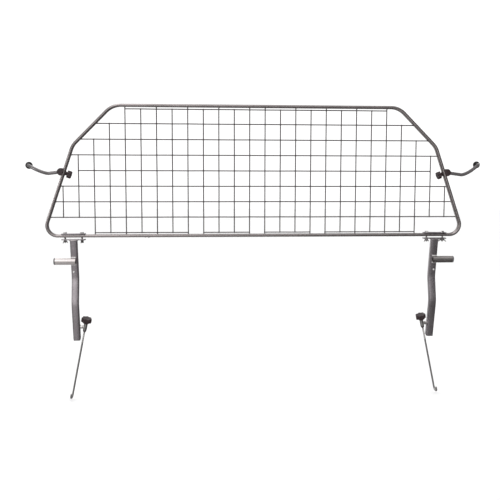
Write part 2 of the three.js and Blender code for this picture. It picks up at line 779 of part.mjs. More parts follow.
function armRod(sideName) {
  const { kink, end } = armPlaces(sideName);
  const beforeEnd = end.clone().setY(armBack - armEndStraight);
  const [first, second] = armControlShares.map(
    ([x, y, z]) => new THREE.Vector3(kink.x + x * armSpan, y * armBack, z * end.z),
  );
  const path = new THREE.CurvePath();
  path.add(new THREE.LineCurve3(armWay.clone().multiplyScalar(armEndInBlock), kink));
  path.add(new THREE.CubicBezierCurve3(kink, first, second, beforeEnd));
  path.add(new THREE.LineCurve3(beforeEnd, end));
  const section = new THREE.Shape(circleSection(armRadius, rodSides).map(([x, y]) => new THREE.Vector2(x, y)));
  const rod = new THREE.ExtrudeGeometry(section, { extrudePath: path, steps: armSteps });
  return geometryOf(solid(rod));
}

// A rubber foot that is pushed over the arm's end and faces away from the viewer
function armPad(sideName) {
  const { end } = armPlaces(sideName);
  const socket = armRadius + seatGap;
  const shoulder = padFace - padThick;
  const foot = turned([
    [0, armBack + seatGap], [socket, armBack + seatGap], [socket, shoulder - padCollar],
    [padCollarRadius, shoulder - padCollar], [padCollarRadius, shoulder],
    [padRadius - padRound, shoulder], [padRadius, shoulder + padRound],
    [padRadius, padFace - padRound], [padRadius - padRound, padFace], [0, padFace],
  ]);
  return geometryOf(solid(foot.rotateX(-Math.PI / 2).translate(end.x, 0, end.z)));
}

// Assembly

const guard = new THREE.Group();

function addPiece(parent, name, geometry, material) {
  const mesh = new THREE.Mesh(geometry, material);
  mesh.name = name;
  parent.add(mesh);
  return mesh;
}

// A group placed on one side. The left side is the right side's mirror image.
function sideGroup(parent, side, [x, y, z], turnX = 0, turnY = 0) {
  const group = new THREE.Group();
  group.position.set(side * x, y, z);
  group.rotation.set(turnX, side * turnY, 0);
  parent.add(group);
  return group;
}

function addSide(sideName) {
  const side = sideName === 'right' ? 1 : -1;
  const handed = (geometry) => (side > 0 ? geometry : mirroredX(geometry));
  const add = (parent, name, geometry, material) => (
    addPiece(parent, `${sideName}_${name}`, handed(geometry), material));

  const clamp = sideGroup(guard, side, [legOut, 0, 0]);
  add(clamp, 'strap_plate', clampPlate(), finishes.frameTube).position.z = railThick + plateThick;
  add(clamp, 'leg_plate', clampPlate(), finishes.frameTube).position.z = plateTop;
  ['inner', 'outer'].forEach((place, i) => {
    const x = side * (i - 0.5) * boltSpacing;
    const bolt = add(clamp, `clamp_bolt_${place}`, clampBolt(), finishes.zinc);
    bolt.position.set(x, 0, railThick + plateThick);
    const nut = add(clamp, `wing_nut_${place}`, wingNut(), finishes.zinc);
    nut.position.set(x, 0, legTop);
    nut.rotation.z = degrees(wingTurnAngles[sideName][i]);
  });

  const leg = sideGroup(guard, side, [legOut, 0, 0]);
  add(leg, 'leg_tube', legTube(), finishes.frameTube);
  const legEnd = sideGroup(leg, side, [0, legEndBack, -legEndDrop], shinAngle);
  add(legEnd, 'leg_end_plug', legPlug(), finishes.blackPlastic);
  const stubBack = legBackAt(stubDrop) - (legThick / 2 + seatGap + stubThick / 2) / Math.cos(thighAngle);
  const stub = sideGroup(guard, side, [legOut - stubInset, stubBack, -stubDrop]);
  add(stub, 'stub_tube', stubTube(), finishes.frameTube);
  add(stub, 'stub_cap', stubCap(), finishes.greyPlastic);

  const tilt = rodTiltAngles[sideName];
  const boss = sideGroup(guard, side, [sleeveOut, pivotBack, -pivotDrop]);
  add(boss, 'pivot_boss', pivotBoss(), finishes.frameTube);
  const foot = sideGroup(guard, side, [sleeveOut, pivotBack, -pivotDrop], degrees(rodLeanAngle));
  add(foot, 'foot_sleeve', footSleeve(tilt), finishes.zinc);
  add(foot, 'pivot_clip', pivotClip(), finishes.zinc);
  const rod = sideGroup(foot, side, [0, 0, 0], 0, -degrees(tilt));
  add(rod, 'rod_bush', rodBush(), finishes.blackPlastic);
  add(rod, 'foot_knob', footKnob(), finishes.blackPlastic);
  add(rod, 'foot_knob_insert', knobInsert(), finishes.brass);
  add(rod, 'hook_rod', hookRod(), finishes.zinc);

  const armClamp = sideGroup(guard, side, [sideHalfAt(clampHeight), 0, clampHeight], 0, -sideAngle);
  add(armClamp, 'arm_block', armBlock(), finishes.blackPlastic);
  add(armClamp, 'arm_nut', captiveNut(), finishes.zinc);
  add(armClamp, 'arm_washer', armWasher(), finishes.blackPlastic);
  add(armClamp, 'arm_stud', armStud(), finishes.zinc);
  add(armClamp, 'arm_knob', armKnob(), finishes.blackPlastic);
  const arm = sideGroup(guard, side, [
    sideHalfAt(clampHeight) + blockOut * Math.cos(sideAngle), 0, clampHeight + blockOut * Math.sin(sideAngle),
  ]);
  add(arm, 'arm_rod', armRod(sideName), finishes.arm);
  add(arm, 'arm_pad', armPad(sideName), finishes.rubber);
}

addPiece(guard, 'frame_tube', frameTube(), finishes.frameTube);
addPiece(guard, 'mesh_panel', meshPanel(), finishes.wire);
addSide('left');
addSide('right');

export default guard;
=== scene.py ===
"""Looks of a car dog guard: bent tube frame, welded wire mesh, bolted legs with stub tubes and
hook rods, and swivelling side arms with rubber pads. Sizes are written in millimetres."""
import math
import random
import bpy
from mathutils import Matrix, Vector


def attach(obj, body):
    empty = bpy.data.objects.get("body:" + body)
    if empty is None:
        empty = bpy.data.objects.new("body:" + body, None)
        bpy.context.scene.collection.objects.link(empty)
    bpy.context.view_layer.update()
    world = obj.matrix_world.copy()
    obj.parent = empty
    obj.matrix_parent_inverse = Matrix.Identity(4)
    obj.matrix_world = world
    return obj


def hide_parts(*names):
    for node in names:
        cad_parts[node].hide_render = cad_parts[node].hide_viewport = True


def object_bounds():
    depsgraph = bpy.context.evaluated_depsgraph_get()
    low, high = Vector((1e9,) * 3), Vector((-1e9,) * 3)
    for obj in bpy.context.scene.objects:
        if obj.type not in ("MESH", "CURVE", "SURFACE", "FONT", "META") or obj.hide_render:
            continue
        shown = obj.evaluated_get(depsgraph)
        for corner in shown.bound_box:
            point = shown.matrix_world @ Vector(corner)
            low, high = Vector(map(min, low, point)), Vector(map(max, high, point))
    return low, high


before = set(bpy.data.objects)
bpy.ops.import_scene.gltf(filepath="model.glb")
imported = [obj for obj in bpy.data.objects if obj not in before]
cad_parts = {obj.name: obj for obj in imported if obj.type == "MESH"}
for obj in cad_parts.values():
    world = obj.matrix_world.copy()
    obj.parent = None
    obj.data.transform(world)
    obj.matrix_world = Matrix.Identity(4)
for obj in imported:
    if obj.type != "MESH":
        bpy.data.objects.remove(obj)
cad_low, cad_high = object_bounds()
bpy.ops.object.select_all(action="DESELECT")
chance = random.Random(7)
MM = 0.001

# Meshes: gaps that are closed, and the steepest edges that are shaded as round, in degrees
DOUBLE_GAP = 0.002
THINNEST_FACE = 0.0005
NO_TURN = 1e-5
ROUND_BELOW = 38
ROUND_ON_WELDS = 80
ROUND_ON_KNOBS = 50
ROUND_ON_BLOCKS = 30

# Camera, solved from the photograph, with its turns in radians
CAMERA_PLACE = (-206.5, -2497.5, 198.8)
TURN_ABOUT_UP = -0.07323
TURN_ABOUT_SIDE = -0.09656
TURN_ABOUT_VIEW = -0.00201258142
LENS_LONG = 55.05
SENSOR_WIDE = 36
CLIP_METRES = (0.1, 60)

# Frame tube
RAIL_THICK = 10
RAIL_DEEP = 20
RAIL_CORNER = 4.8
RAIL_CENTRE = RAIL_THICK / 2
BOTTOM_HALF = 691.8
SHOULDER_HALF = 591.6
SHOULDER_RISE = 290.4
TOP_HALF = 465
TOP_RISE = 417.5
BOTTOM_BEND = 34
SHOULDER_BEND = 60
TOP_BEND = 65
BUTT_PLACE = -353
BUTT_PROUD = 0.5
BUTT_HALF = 1.4
BUTT_RINGS = ((0.5, 1.03), (0.9, 1.035), (0.9, 0.99), (0.5, 0.965))
SIDE_ANGLE = math.atan2(BOTTOM_HALF - SHOULDER_HALF, SHOULDER_RISE)

# Welded mesh, with columns counted from the middle and rows from the bottom
MESH_PITCH = 50
BARE_WIRE_RADIUS = 1.5
WIRE_RADIUS = 1.75
WIRE_SETBACK = 1.125
WIRE_TAIL = 2
WIRE_IN_TUBE = 1
WIRE_WANDER = 0.16
COLUMNS = 13
ROWS = 9
BOTTOM_ROW_GAP = 3.5
TOP_ROW_DROP = 3.5
COLUMNS_TO_TOP_RAIL = (0, 2, 4, 6, 8)
COLUMNS_TO_BOTTOM_RAIL = (0, 3, 4, 6, 8, 10)
TOP_ROW_OF_COLUMN = {9: 7, 10: 6, 11: 5, 12: 3}
BOTTOM_ROW_OF_COLUMN = {11: 1, 12: 1}
LAST_COLUMN_OF_ROW = {4: 11, 8: 8}
BOTTOM_ROW_PIECES = ((10, 4), (3, 0))

# Leg clamp
LEG_OUT = 594.6
PLATE_LONG = 76
PLATE_DEEP = 25
PLATE_THICK = 3
PLATE_CORNER = 3
PLATE_GAP = 5.5
LEG_TOP = -PLATE_GAP - PLATE_THICK
BOLT_SPACING = 54
BOLT_RADIUS = 3
BOLT_LONG = 31
HEAD_ACROSS = 10
HEAD_HIGH = 4
HEAD_CHAMFER = 0.6
HEAD_TURNS = (17, 40)
THREAD_PITCH = 1
THREAD_DEEP = 0.5
THREAD_RUNOUT = 0.9
TIP_CHAMFER = 0.8
HUB_TOP_RADIUS = 5.6
HUB_FOOT_RADIUS = 4.2
HUB_HIGH = 6.5
HUB_SWELL_SHARE = 1.08
NUT_PLAY = 0.12
NUT_INSETS = (0.5, 1.4)
WING_STEPS = ((2.4, -1.2, 0.86), (2.2, -1.8, 0.98), (1.7, -1.9, 1.06), (0.9, -1.0, 0.7))
WING_TURNS = {"left": (78, 64), "right": (38, -32)}

# Leg and stub tube
LEG_THICK = 22
LEG_CORNER = 2.6
KNEE = (24, -138)
SHIN = (6, -218)
LEG_END = (33, -340)
LEG_BEND = 55
PLUG_RIM = 2
PLUG_INSETS = (2.4, 0.6)
PLUG_DENT = 0.5
STUB_RADIUS = 11
STUB_WALL = 1.5
STUB_LONG = 65
STUB_INNER_END = 588.3
STUB_BACK = -9.985
STUB_DROP = 77
STUB_CHAMFER = 0.3
CAP_RIM = 4.5
CAP_PLUG = 9
SPOT_DROP = 113
SPOT_ASIDE = 3

# Foot of the leg, with places along the rod from the sleeve's middle
PIVOT_OUT = 566.2
PIVOT_BACK = 23.705
PIVOT_DROP = 298
PIN_RADIUS = 3.2
SLEEVE_RADIUS = 6.2
SLEEVE_HALF = 11.5
COLLAR_RADIUS = 4.6
BOSS_RADIUS = 6
BOSS_LONG = 8.5
BUSH_RADIUS = 5.4
BUSH_LONG = 5
SEAT_GAP = 0.3
RUNNING_GAP = 0.15
ROD_RADIUS = 3
ROD_LEAN = 12
ROD_TILTS = {"left": 12.2, "right": 14.8}
ROD_TOP = 18.5
ROD_THREAD_END = -62
ROD_TIP_RINGS = ((0.5, 0.9), (0.9, 0.72))
ROD_REACH = 262
HOOK_RADIUS = 9
HOOK_TIP = 9
HOOK_TURN = 80
FOOT_KNOB_RADIUS = 18.5
FOOT_KNOB_THICK = 15
FOOT_NECK_RADIUS = 8
FOOT_NECK = 5
KNOB_LOBES = 7
KNOB_RIM = 1.6
KNOB_DIP_SHARES = ((0, 0.9), (-1, 0.72))
KNOB_LOWER_RIM_SHARES = ((0.28, 1.06), (0.7, 1.027))
KNOB_UPPER_RIM_SHARES = ((0.7, 0.985), (0.32, 0.95))
KNOB_TOP_RINGS = (1.4, 2.2, 2.6)
KNOB_DISH = 0.7
INSERT_BORE = 4.9

# Side arm
CLAMP_HEIGHT = 208
CLAMP_OUT = BOTTOM_HALF - (BOTTOM_HALF - SHOULDER_HALF) * (CLAMP_HEIGHT - RAIL_CENTRE) / SHOULDER_RISE
BLOCK_RADIUS = 12
BLOCK_OUT = 8.5
BLOCK_DEEP = 26
BLOCK_ROUND = 1.5
SADDLE_LIP = 4.4
WASHER_RADIUS = 7.5
WASHER_THICK = 1.5
ARM_KNOB_RADIUS = 13.5
ARM_KNOB_THICK = 13.5
ARM_NECK_RADIUS = 5.8
ARM_NECK = 4.6
STUD_BORE = 3.3
ARM_RADIUS = 5.5
ARM_SLOPE = math.radians(7.4)
ARM_IN_BLOCK = 4.5
KINK_REACHES = {"left": 41.5, "right": 53.5}
ARM_SPAN = 73.4
ARM_BACK = 66
ARM_RISES = {"left": 21, "right": 27.3}
ARM_STRAIGHT = 12
KINK_EASE = 5
ARM_CONTROL_SHARES = ((0.42, 0.16, -0.05), (0.84, 0.42, 0.85))
PAD_RADIUS = 11.6
PAD_FACE = 70

# Beads and drops of weld, as a radius and how far it is flattened, or as places with their sizes
BEAD_STEP = 0.9
BEAD_DIP_SHARE = 0.84
BEAD_END_SHARE = 0.45
BEAD_LEAST_SHARE = 0.92
BEAD_SPREAD_SHARE = 0.16
FLANGE_BEAD = 1.7
FLANGE_BEAD_PROUD = 0.6
PIVOT_BEAD = 1.1
PIVOT_BEAD_RING = 6.7
RAIL_DROP_FLAT_SHARE = 0.8
RAIL_DROPS = ((0.6, -9.9, 3.8, 2.6), (0.2, -7.2, 0.4, 2.3), (-11.0, -7.0, 0.5, 1.6))
CROSSING_DROP = (2.1, 0.78)
WIRE_END_DROP = (2.6, 0.85)
LEG_SPOT = (3.3, 0.5)
STUB_BEADS = ((6.4, 1.6, 2.2), (9.2, 2.2, 2.6), (12.0, 1.0, 2.0))

# Tones of the room as seen by what shines, by how far a direction points right, back and up
LEFT_TO_RIGHT = (
    (-1.0, 0.16), (-0.45, 0.2), (-0.3, 0.55), (-0.22, 1.0), (-0.155, 1.0), (-0.117, 0.66), (-0.07, 0.51),
    (-0.025, 0.36), (0.01, 0.28), (0.05, 0.22), (0.1, 0.19), (0.144, 0.16), (0.2, 0.136), (0.25, 0.108),
    (0.3, 0.08), (0.5, 0.05), (1.0, 0.04),
)
FRONT_TO_BACK = ((-1.0, 1.0), (0.3, 1.0), (0.8, 0.7), (1.0, 0.7))
LOW_TO_HIGH = (
    (-1.0, 0.26), (-0.44, 0.24), (-0.2, 0.37), (-0.075, 0.56), (0.33, 0.58), (0.6, 1.0), (0.8, 0.9),
    (1.0, 0.6),
)
CEILING = ((0.6, 0.0), (0.9, 0.12))
ROOM_TONE = 2.9
WHITE_TONE = 1.12
FLOOR_TONES = (0.92, 0.94)
FLOOR_WIDE = 30
FLOOR_DROP = 0.004

# Finishes, each with its dark and light colour and its lowest and highest roughness.
# The last number is how metallic a metal is, or how strong the grain of a moulding.
PAINTED_STEELS = {
    "frame_coat": ((0.36, 0.325, 0.322), (0.445, 0.40, 0.398), 0.24, 0.34, 0.9),
    # The wires' coat is the frame's grey paint made far darker, painted shade that keeps the thin wires
    # dark
    "shaded_wire_coat": ((0.093, 0.078, 0.081), (0.131, 0.111, 0.115), 0.36, 0.50, 0.7),
    "leg_coat": ((0.367, 0.336, 0.354), (0.468, 0.43, 0.452), 0.24, 0.36, 0.9),
    # The stub's coat is the leg's grey paint made lighter and warmer, a painted highlight that makes the
    # round stub read bright
    "lit_stub_coat": ((0.475, 0.44, 0.435), (0.58, 0.54, 0.53), 0.15, 0.26, 0.93),
    # A near-white weld colour, far lighter than the other welds, used only on the stub welds and the
    # leg's spot so that they show as bright spots
    "bright_weld": ((0.76, 0.75, 0.74), (0.90, 0.89, 0.88), 0.25, 0.40, 0.45),
    "weld_coat": ((0.40, 0.36, 0.36), (0.64, 0.60, 0.60), 0.22, 0.45, 0.9),
}
BARE_METALS = {
    "drawn_steel": ((0.146, 0.135, 0.138), (0.198, 0.184, 0.188), 0.14, 0.24, 0.45),
    "zinc_plate": ((0.69, 0.67, 0.66), (0.88, 0.86, 0.84), 0.24, 0.42, 1.0),
    "turned_brass": ((0.48, 0.32, 0.11), (0.66, 0.46, 0.17), 0.22, 0.36, 1.0),
}
MOULDINGS = {
    "black_plastic": ((0.026, 0.015, 0.017), (0.043, 0.026, 0.029), 0.30, 0.46, 0.2),
    "grey_plastic": ((0.105, 0.103, 0.108), (0.150, 0.147, 0.153), 0.42, 0.58, 0.2),
    "black_rubber": ((0.009, 0.009, 0.009), (0.018, 0.017, 0.017), 0.6, 0.8, 0.35),
}

MIRRORED = Matrix.Scale(-1, 4, (1, 0, 0))


def point(x, y, z):
    """A place given in millimetres."""
    return Vector((x, y, z)) * MM


# Camera
def set_camera():
    data = bpy.data.cameras.new("view")
    camera = bpy.data.objects.new("view", data)
    bpy.context.scene.collection.objects.link(camera)
    data.sensor_width = SENSOR_WIDE
    data.lens = LENS_LONG
    data.clip_start, data.clip_end = CLIP_METRES
    facing = (
        Matrix.Rotation(TURN_ABOUT_UP, 3, "Z")
        @ Matrix.Rotation(TURN_ABOUT_SIDE, 3, "X")
        @ Matrix.Rotation(TURN_ABOUT_VIEW, 3, "Y")
    )
    right, forward, up = facing.col[0], facing.col[1], facing.col[2]
    axes = Matrix((right, up, -forward)).transposed()
    camera.matrix_world = Matrix.Translation(point(*CAMERA_PLACE)) @ axes.to_4x4()
    bpy.context.scene.camera = camera


# Finishes
def new_material(name):
    material = bpy.data.materials.new(name)
    material.use_nodes = True
    nodes = material.node_tree.nodes
    return material, nodes, material.node_tree.links, nodes["Principled BSDF"]


def object_noise(nodes, links, scale, detail):
    """Noise on Object coordinates, whose scale is in features per metre."""
    place = nodes.new("ShaderNodeTexCoord")
    noise = nodes.new("ShaderNodeTexNoise")
    noise.inputs["Scale"].default_value = scale
    noise.inputs["Detail"].default_value = detail
    noise.inputs["Roughness"].default_value = 0.55
    links.new(place.outputs["Object"], noise.inputs["Vector"])
    return noise.outputs["Fac"]


def ramp(nodes, links, factor, stops):
    """A colour ramp with (place, colour) stops."""
    node = nodes.new("ShaderNodeValToRGB")
    elements = node.color_ramp.elements
    while len(elements) < len(stops):
        elements.new(0.5)
    for element, (at, colour) in zip(elements, stops):
        element.position = at
        element.color = (*colour, 1)
    links.new(factor, node.inputs["Fac"])
    return node.outputs["Color"]


def between(nodes, links, factor, low, high):
    """Maps a noise factor's middle range to a range of values."""
    node = nodes.new("ShaderNodeMapRange")
    node.inputs["From Min"].default_value = 0.3
    node.inputs["From Max"].default_value = 0.7
    node.inputs["To Min"].default_value = low
    node.inputs["To Max"].default_value = high
    links.new(factor, node.inputs["Value"])
    return node.outputs["Result"]


def bump(nodes, links, height, strength, distance):
    """Relief on a surface, its distance in millimetres."""
    node = nodes.new("ShaderNodeBump")
    node.inputs["Strength"].default_value = strength
    node.inputs["Distance"].default_value = distance * MM
    links.new(height, node.inputs["Height"])
    return node.outputs["Normal"]


def painted_steel(name, dark, light, rough_low, rough_high, metallic):
    """Grey powder coat: slow colour drift, fine changes of gloss and an orange-peel surface."""
    material, nodes, links, shader = new_material(name)
    drift = object_noise(nodes, links, scale=14, detail=3)
    links.new(ramp(nodes, links, drift, ((0.32, dark), (0.7, light))), shader.inputs["Base Color"])
    gloss = object_noise(nodes, links, scale=260, detail=5)
    links.new(between(nodes, links, gloss, rough_low, rough_high), shader.inputs["Roughness"])
    peel = object_noise(nodes, links, scale=900, detail=2)
    links.new(bump(nodes, links, peel, strength=0.06, distance=0.05), shader.inputs["Normal"])
    shader.inputs["Metallic"].default_value = metallic
    return material


def bare_metal(name, dark, light, rough_low, rough_high, metallic):
    """Bright or plated metal with a cloudy tone and a fine grain."""
    material, nodes, links, shader = new_material(name)
    cloud = object_noise(nodes, links, scale=60, detail=5)
    links.new(ramp(nodes, links, cloud, ((0.3, dark), (0.72, light))), shader.inputs["Base Color"])
    grain = object_noise(nodes, links, scale=700, detail=4)
    links.new(between(nodes, links, grain, rough_low, rough_high), shader.inputs["Roughness"])
    links.new(bump(nodes, links, grain, strength=0.15, distance=0.06), shader.inputs["Normal"])
    shader.inputs["Metallic"].default_value = metallic
    return material


def moulded_plastic(name, dark, light, rough_low, rough_high, relief):
    """Moulded plastic or rubber with a fine spark-eroded grain and slow gloss changes."""
    material, nodes, links, shader = new_material(name)
    drift = object_noise(nodes, links, scale=120, detail=4)
    links.new(ramp(nodes, links, drift, ((0.3, dark), (0.72, light))), shader.inputs["Base Color"])
    gloss = object_noise(nodes, links, scale=220, detail=3)
    links.new(between(nodes, links, gloss, rough_low, rough_high), shader.inputs["Roughness"])
    grain = object_noise(nodes, links, scale=2600, detail=2)
    links.new(bump(nodes, links, grain, strength=relief, distance=0.1), shader.inputs["Normal"])
    return material


def make_finishes():
    made = {}
    kinds = ((painted_steel, PAINTED_STEELS), (bare_metal, BARE_METALS), (moulded_plastic, MOULDINGS))
    for make, table in kinds:
        for name, values in table.items():
            made[name] = make(name, *values)
    return made


# Modelling by hand
def choose(piece):
    """Makes a piece the one that the next operator works on."""
    bpy.ops.object.select_all(action="DESELECT")
    bpy.context.view_layer.objects.active = piece
    piece.select_set(True)


def begin_edit(piece):
    choose(piece)
    bpy.ops.object.mode_set(mode="EDIT")
    bpy.ops.mesh.select_mode(type="VERT")


def end_edit():
    bpy.ops.object.mode_set(mode="OBJECT")


def pick(piece, kind, test):
    """Selects the faces or vertices that pass a test on their place and their normal."""
    bpy.ops.mesh.select_mode(type=kind)
    bpy.ops.mesh.select_all(action="DESELECT")
    bpy.ops.object.mode_set(mode="OBJECT")
    if kind == "FACE":
        for face in piece.data.polygons:
            face.select = bool(test(face.center / MM, face.normal))
    else:
        for vertex in piece.data.vertices:
            vertex.select = bool(test(vertex.co / MM, vertex.normal))
    bpy.ops.object.mode_set(mode="EDIT")


def pick_all():
    bpy.ops.mesh.select_all(action="SELECT")


def push(step):
    """Extrudes what is selected by a step in metres."""
    bpy.ops.mesh.extrude_region_move(TRANSFORM_OT_translate={"value": tuple(step)})


def spread(x, y=None, z=None, centre=(0, 0, 0)):
    size = (x, x if y is None else y, x if z is None else z)
    bpy.ops.transform.resize(value=size, center_override=tuple(centre))


def turn(way, facing, centre):
    """Turns what is selected from one direction to another about a place."""
    angles = way.rotation_difference(facing).to_matrix().to_euler("XYZ")
    for axis, angle in zip("XYZ", angles):
        if abs(angle) > NO_TURN:
            bpy.ops.transform.rotate(value=-angle, orient_axis=axis, center_override=tuple(centre))


def tidy_mesh(piece):
    """Merges doubles and points all faces outwards."""
    begin_edit(piece)
    pick_all()
    bpy.ops.mesh.remove_doubles(threshold=DOUBLE_GAP * MM)
    bpy.ops.mesh.dissolve_degenerate(threshold=THINNEST_FACE * MM)
    pick_all()
    bpy.ops.mesh.normals_make_consistent(inside=False)
    end_edit()


def place_in_mesh(piece, place=None):
    """Keeps a piece's place, or a new one that it is moved to, in its mesh."""
    if place is not None:
        piece.matrix_world = place
    choose(piece)
    bpy.ops.object.transform_apply(location=True, rotation=True, scale=True)
    return piece


def apply_modifier(piece, kind, **settings):
    modifier = piece.modifiers.new(kind.lower(), kind)
    for name, value in settings.items():
        setattr(modifier, name, value)
    choose(piece)
    bpy.ops.object.modifier_apply(modifier=modifier.name)


def smoothed(piece):
    apply_modifier(piece, "SUBSURF", levels=2, render_levels=2)


def softened(piece, width, angle=35):
    apply_modifier(
        piece, "BEVEL", width=width * MM, segments=2, limit_method="ANGLE",
        angle_limit=math.radians(angle), harden_normals=False,
    )


def carve(piece, tool, operation="DIFFERENCE"):
    """Cuts one piece with another, which is used up."""
    apply_modifier(piece, "BOOLEAN", operation=operation, object=tool, solver="EXACT")
    bpy.data.objects.remove(tool)
    return piece


def join(pieces):
    bpy.ops.object.select_all(action="DESELECT")
    for piece in pieces:
        piece.select_set(True)
    bpy.context.view_layer.objects.active = pieces[0]
    bpy.ops.object.join()
    return pieces[0]


def copy_at(piece, step):
    """A copy with its own mesh, moved by a step in metres."""
    choose(piece)
    bpy.ops.object.duplicate()
    copy = bpy.context.object
    bpy.ops.transform.translate(value=tuple(step))
    return copy


def cylinder(sides, radius, depth, at=(0, 0, 0), rotation=(0, 0, 0)):
    """A cylinder along Z, before its rotation, with its middle at a place."""
    bpy.ops.mesh.primitive_cylinder_add(
        vertices=sides, radius=radius * MM, depth=depth * MM, location=point(*at), rotation=rotation,
    )
    return bpy.context.object


def round_section(radius, sides, at, facing):
    """A filled circle that faces along a path."""
    bpy.ops.mesh.primitive_circle_add(
        vertices=sides, radius=radius * MM, fill_type="NGON", location=at,
        rotation=facing.to_track_quat("Z", "Y").to_euler(),
    )
    return place_in_mesh(bpy.context.object)


def square_section(width, depth, corner, steps):
    """A filled rectangle with rounded corners, flat on the XY plane."""
    bpy.ops.mesh.primitive_plane_add(size=1)
    piece = bpy.context.object
    begin_edit(piece)
    pick_all()
    spread(width * MM, depth * MM, 1)
    bpy.ops.mesh.bevel(offset=corner * MM, segments=steps, affect="VERTICES")
    end_edit()
    return piece


def run_along(piece, points, facing=None, sizes=None):
    """Extrudes a section, which faces along the path, from point to point round its bends."""
    begin_edit(piece)
    pick_all()
    way = facing or (points[1] - points[0]).normalized()
    for i in range(1, len(points)):
        before = points[i] - points[i - 1]
        after = points[i + 1] - points[i] if i + 1 < len(points) else before
        onward = (before.normalized() + after.normalized()).normalized()
        push(before)
        turn(way, onward, points[i])
        way = onward
        if sizes:
            spread(sizes[i] / sizes[i - 1], centre=points[i])
    end_edit()
    return piece


def bent(corners):
    """Rounds the corners of a path. Each corner is a place, a bend radius and a number of steps."""
    points = [corners[0][0]]
    for (before, *_), (at, bend, steps), (after, *_) in zip(corners, corners[1:], corners[2:]):
        into = (at - before).normalized()
        onward = (after - at).normalized()
        if not bend:
            points.append(at)
            continue
        angle = into.angle(onward)
        start = at - into * bend * MM * math.tan(angle / 2)
        axis = into.cross(onward).normalized()
        centre = start + axis.cross(into) * bend * MM
        for step in range(steps + 1):
            points.append(centre + Matrix.Rotation(angle * step / steps, 3, axis) @ (start - centre))
    points.append(corners[-1][0])
    return points


def turned(outline, sides):
    """Spins an outline of (radius, height) points, in millimetres, about Z."""
    radius, height = outline[0]
    bpy.ops.mesh.primitive_plane_add(size=MM, location=point(radius, 0, height))
    piece = place_in_mesh(bpy.context.object)
    begin_edit(piece)
    pick_all()
    bpy.ops.mesh.merge(type="CENTER")
    for (r0, z0), (r1, z1) in zip(outline, outline[1:]):
        step = point(r1 - r0, 0, z1 - z0)
        bpy.ops.mesh.extrude_vertices_move(TRANSFORM_OT_translate={"value": tuple(step)})
    pick_all()
    bpy.ops.mesh.spin(steps=sides, angle=2 * math.pi, center=(0, 0, 0), axis=(0, 0, 1))
    end_edit()
    tidy_mesh(piece)
    return piece


def threaded(radius, low, high):
    """A threaded rod along Z, drawn as close rings at the thread's pitch."""
    root = radius - THREAD_DEEP
    outline = [(0, low), (radius - TIP_CHAMFER, low)]
    height = low + TIP_CHAMFER / 2
    while height < high - THREAD_RUNOUT:
        outline += [(root, height), (radius, height + THREAD_PITCH / 2)]
        height += THREAD_PITCH
    outline += [(root, height), (root, high), (0, high)]
    return turned(outline, 20)


def weld_bead(points, radius, sides=10):
    """A rippled bead along a path, thin at both ends."""
    stations = [points[0]]
    for before, after in zip(points, points[1:]):
        count = max(1, round((after - before).length / (BEAD_STEP * MM)))
        stations += [before.lerp(after, (i + 1) / count) for i in range(count)]
    sizes = []
    for i in range(len(stations)):
        ripple = 1.0 if i % 2 else BEAD_DIP_SHARE
        sizes.append(ripple * (BEAD_LEAST_SHARE + BEAD_SPREAD_SHARE * chance.random()))
    sizes[0] = BEAD_END_SHARE
    sizes[-1] = BEAD_END_SHARE
    bead = round_section(radius * sizes[0], sides, stations[0], stations[1] - stations[0])
    run_along(bead, stations, sizes=sizes)
    tidy_mesh(bead)
    return bead


def finish(piece, name, body, material, place=None, side=1, stands_for=(), angle=ROUND_BELOW):
    """Puts a piece in its place, on its body and in its finish."""
    piece.name = name
    piece.data.name = name
    if place is not None:
        place_in_mesh(piece, place)
    if side < 0:
        place_in_mesh(piece, MIRRORED)
    tidy_mesh(piece)
    bpy.ops.object.shade_smooth_by_angle(angle=math.radians(angle))
    piece.data.materials.clear()
    piece.data.materials.append(material)
    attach(piece, body)
    if stands_for:
        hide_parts(*stands_for)
    return piece


# Frame tube and its butt weld
def make_frame_tube(coats):
    section = square_section(RAIL_THICK, RAIL_DEEP, RAIL_CORNER, 5)
    along_x = Matrix.Rotation(math.pi / 2, 4, "Y")
    place_in_mesh(section, Matrix.Translation(point(0, 0, RAIL_CENTRE)) @ along_x)
    begin_edit(section)
    pick_all()
    bpy.ops.mesh.delete(type="ONLY_FACE")
    end_edit()
    path = bent([
        (point(0, 0, RAIL_CENTRE), 0, 0),
        (point(BOTTOM_HALF, 0, RAIL_CENTRE), BOTTOM_BEND, 18),
        (point(SHOULDER_HALF, 0, RAIL_CENTRE + SHOULDER_RISE), SHOULDER_BEND, 10),
        (point(TOP_HALF, 0, RAIL_CENTRE + TOP_RISE), TOP_BEND, 14),
        (point(0, 0, RAIL_CENTRE + TOP_RISE), 0, 0),
    ])
    run_along(section, path)
    apply_modifier(section, "MIRROR", merge_threshold=0.01 * MM)
    finish(
        section, "bent_frame_tube", "frame", coats["frame_coat"],
        stands_for=["frame_tube"],
    )

    collar = square_section(RAIL_THICK + BUTT_PROUD, RAIL_DEEP + BUTT_PROUD, RAIL_CORNER, 5)
    place_in_mesh(collar, Matrix.Translation(point(BUTT_PLACE - BUTT_HALF, 0, RAIL_CENTRE)) @ along_x)
    begin_edit(collar)
    pick_all()
    for step, size in BUTT_RINGS:
        push(point(step, 0, 0))
        spread(1, size, size, centre=point(0, 0, RAIL_CENTRE))
    end_edit()
    finish(collar, "rail_butt_weld", "frame", coats["weld_coat"])

    drops = []
    for x, y, z, radius in RAIL_DROPS:
        drop = weld_drop(radius, RAIL_DROP_FLAT_SHARE)
        drops.append(place_in_mesh(drop, Matrix.Translation(point(BUTT_PLACE + x, y, z))))
    finish(
        join(drops), "rail_weld_drops", "frame", coats["weld_coat"], angle=ROUND_ON_WELDS,
    )


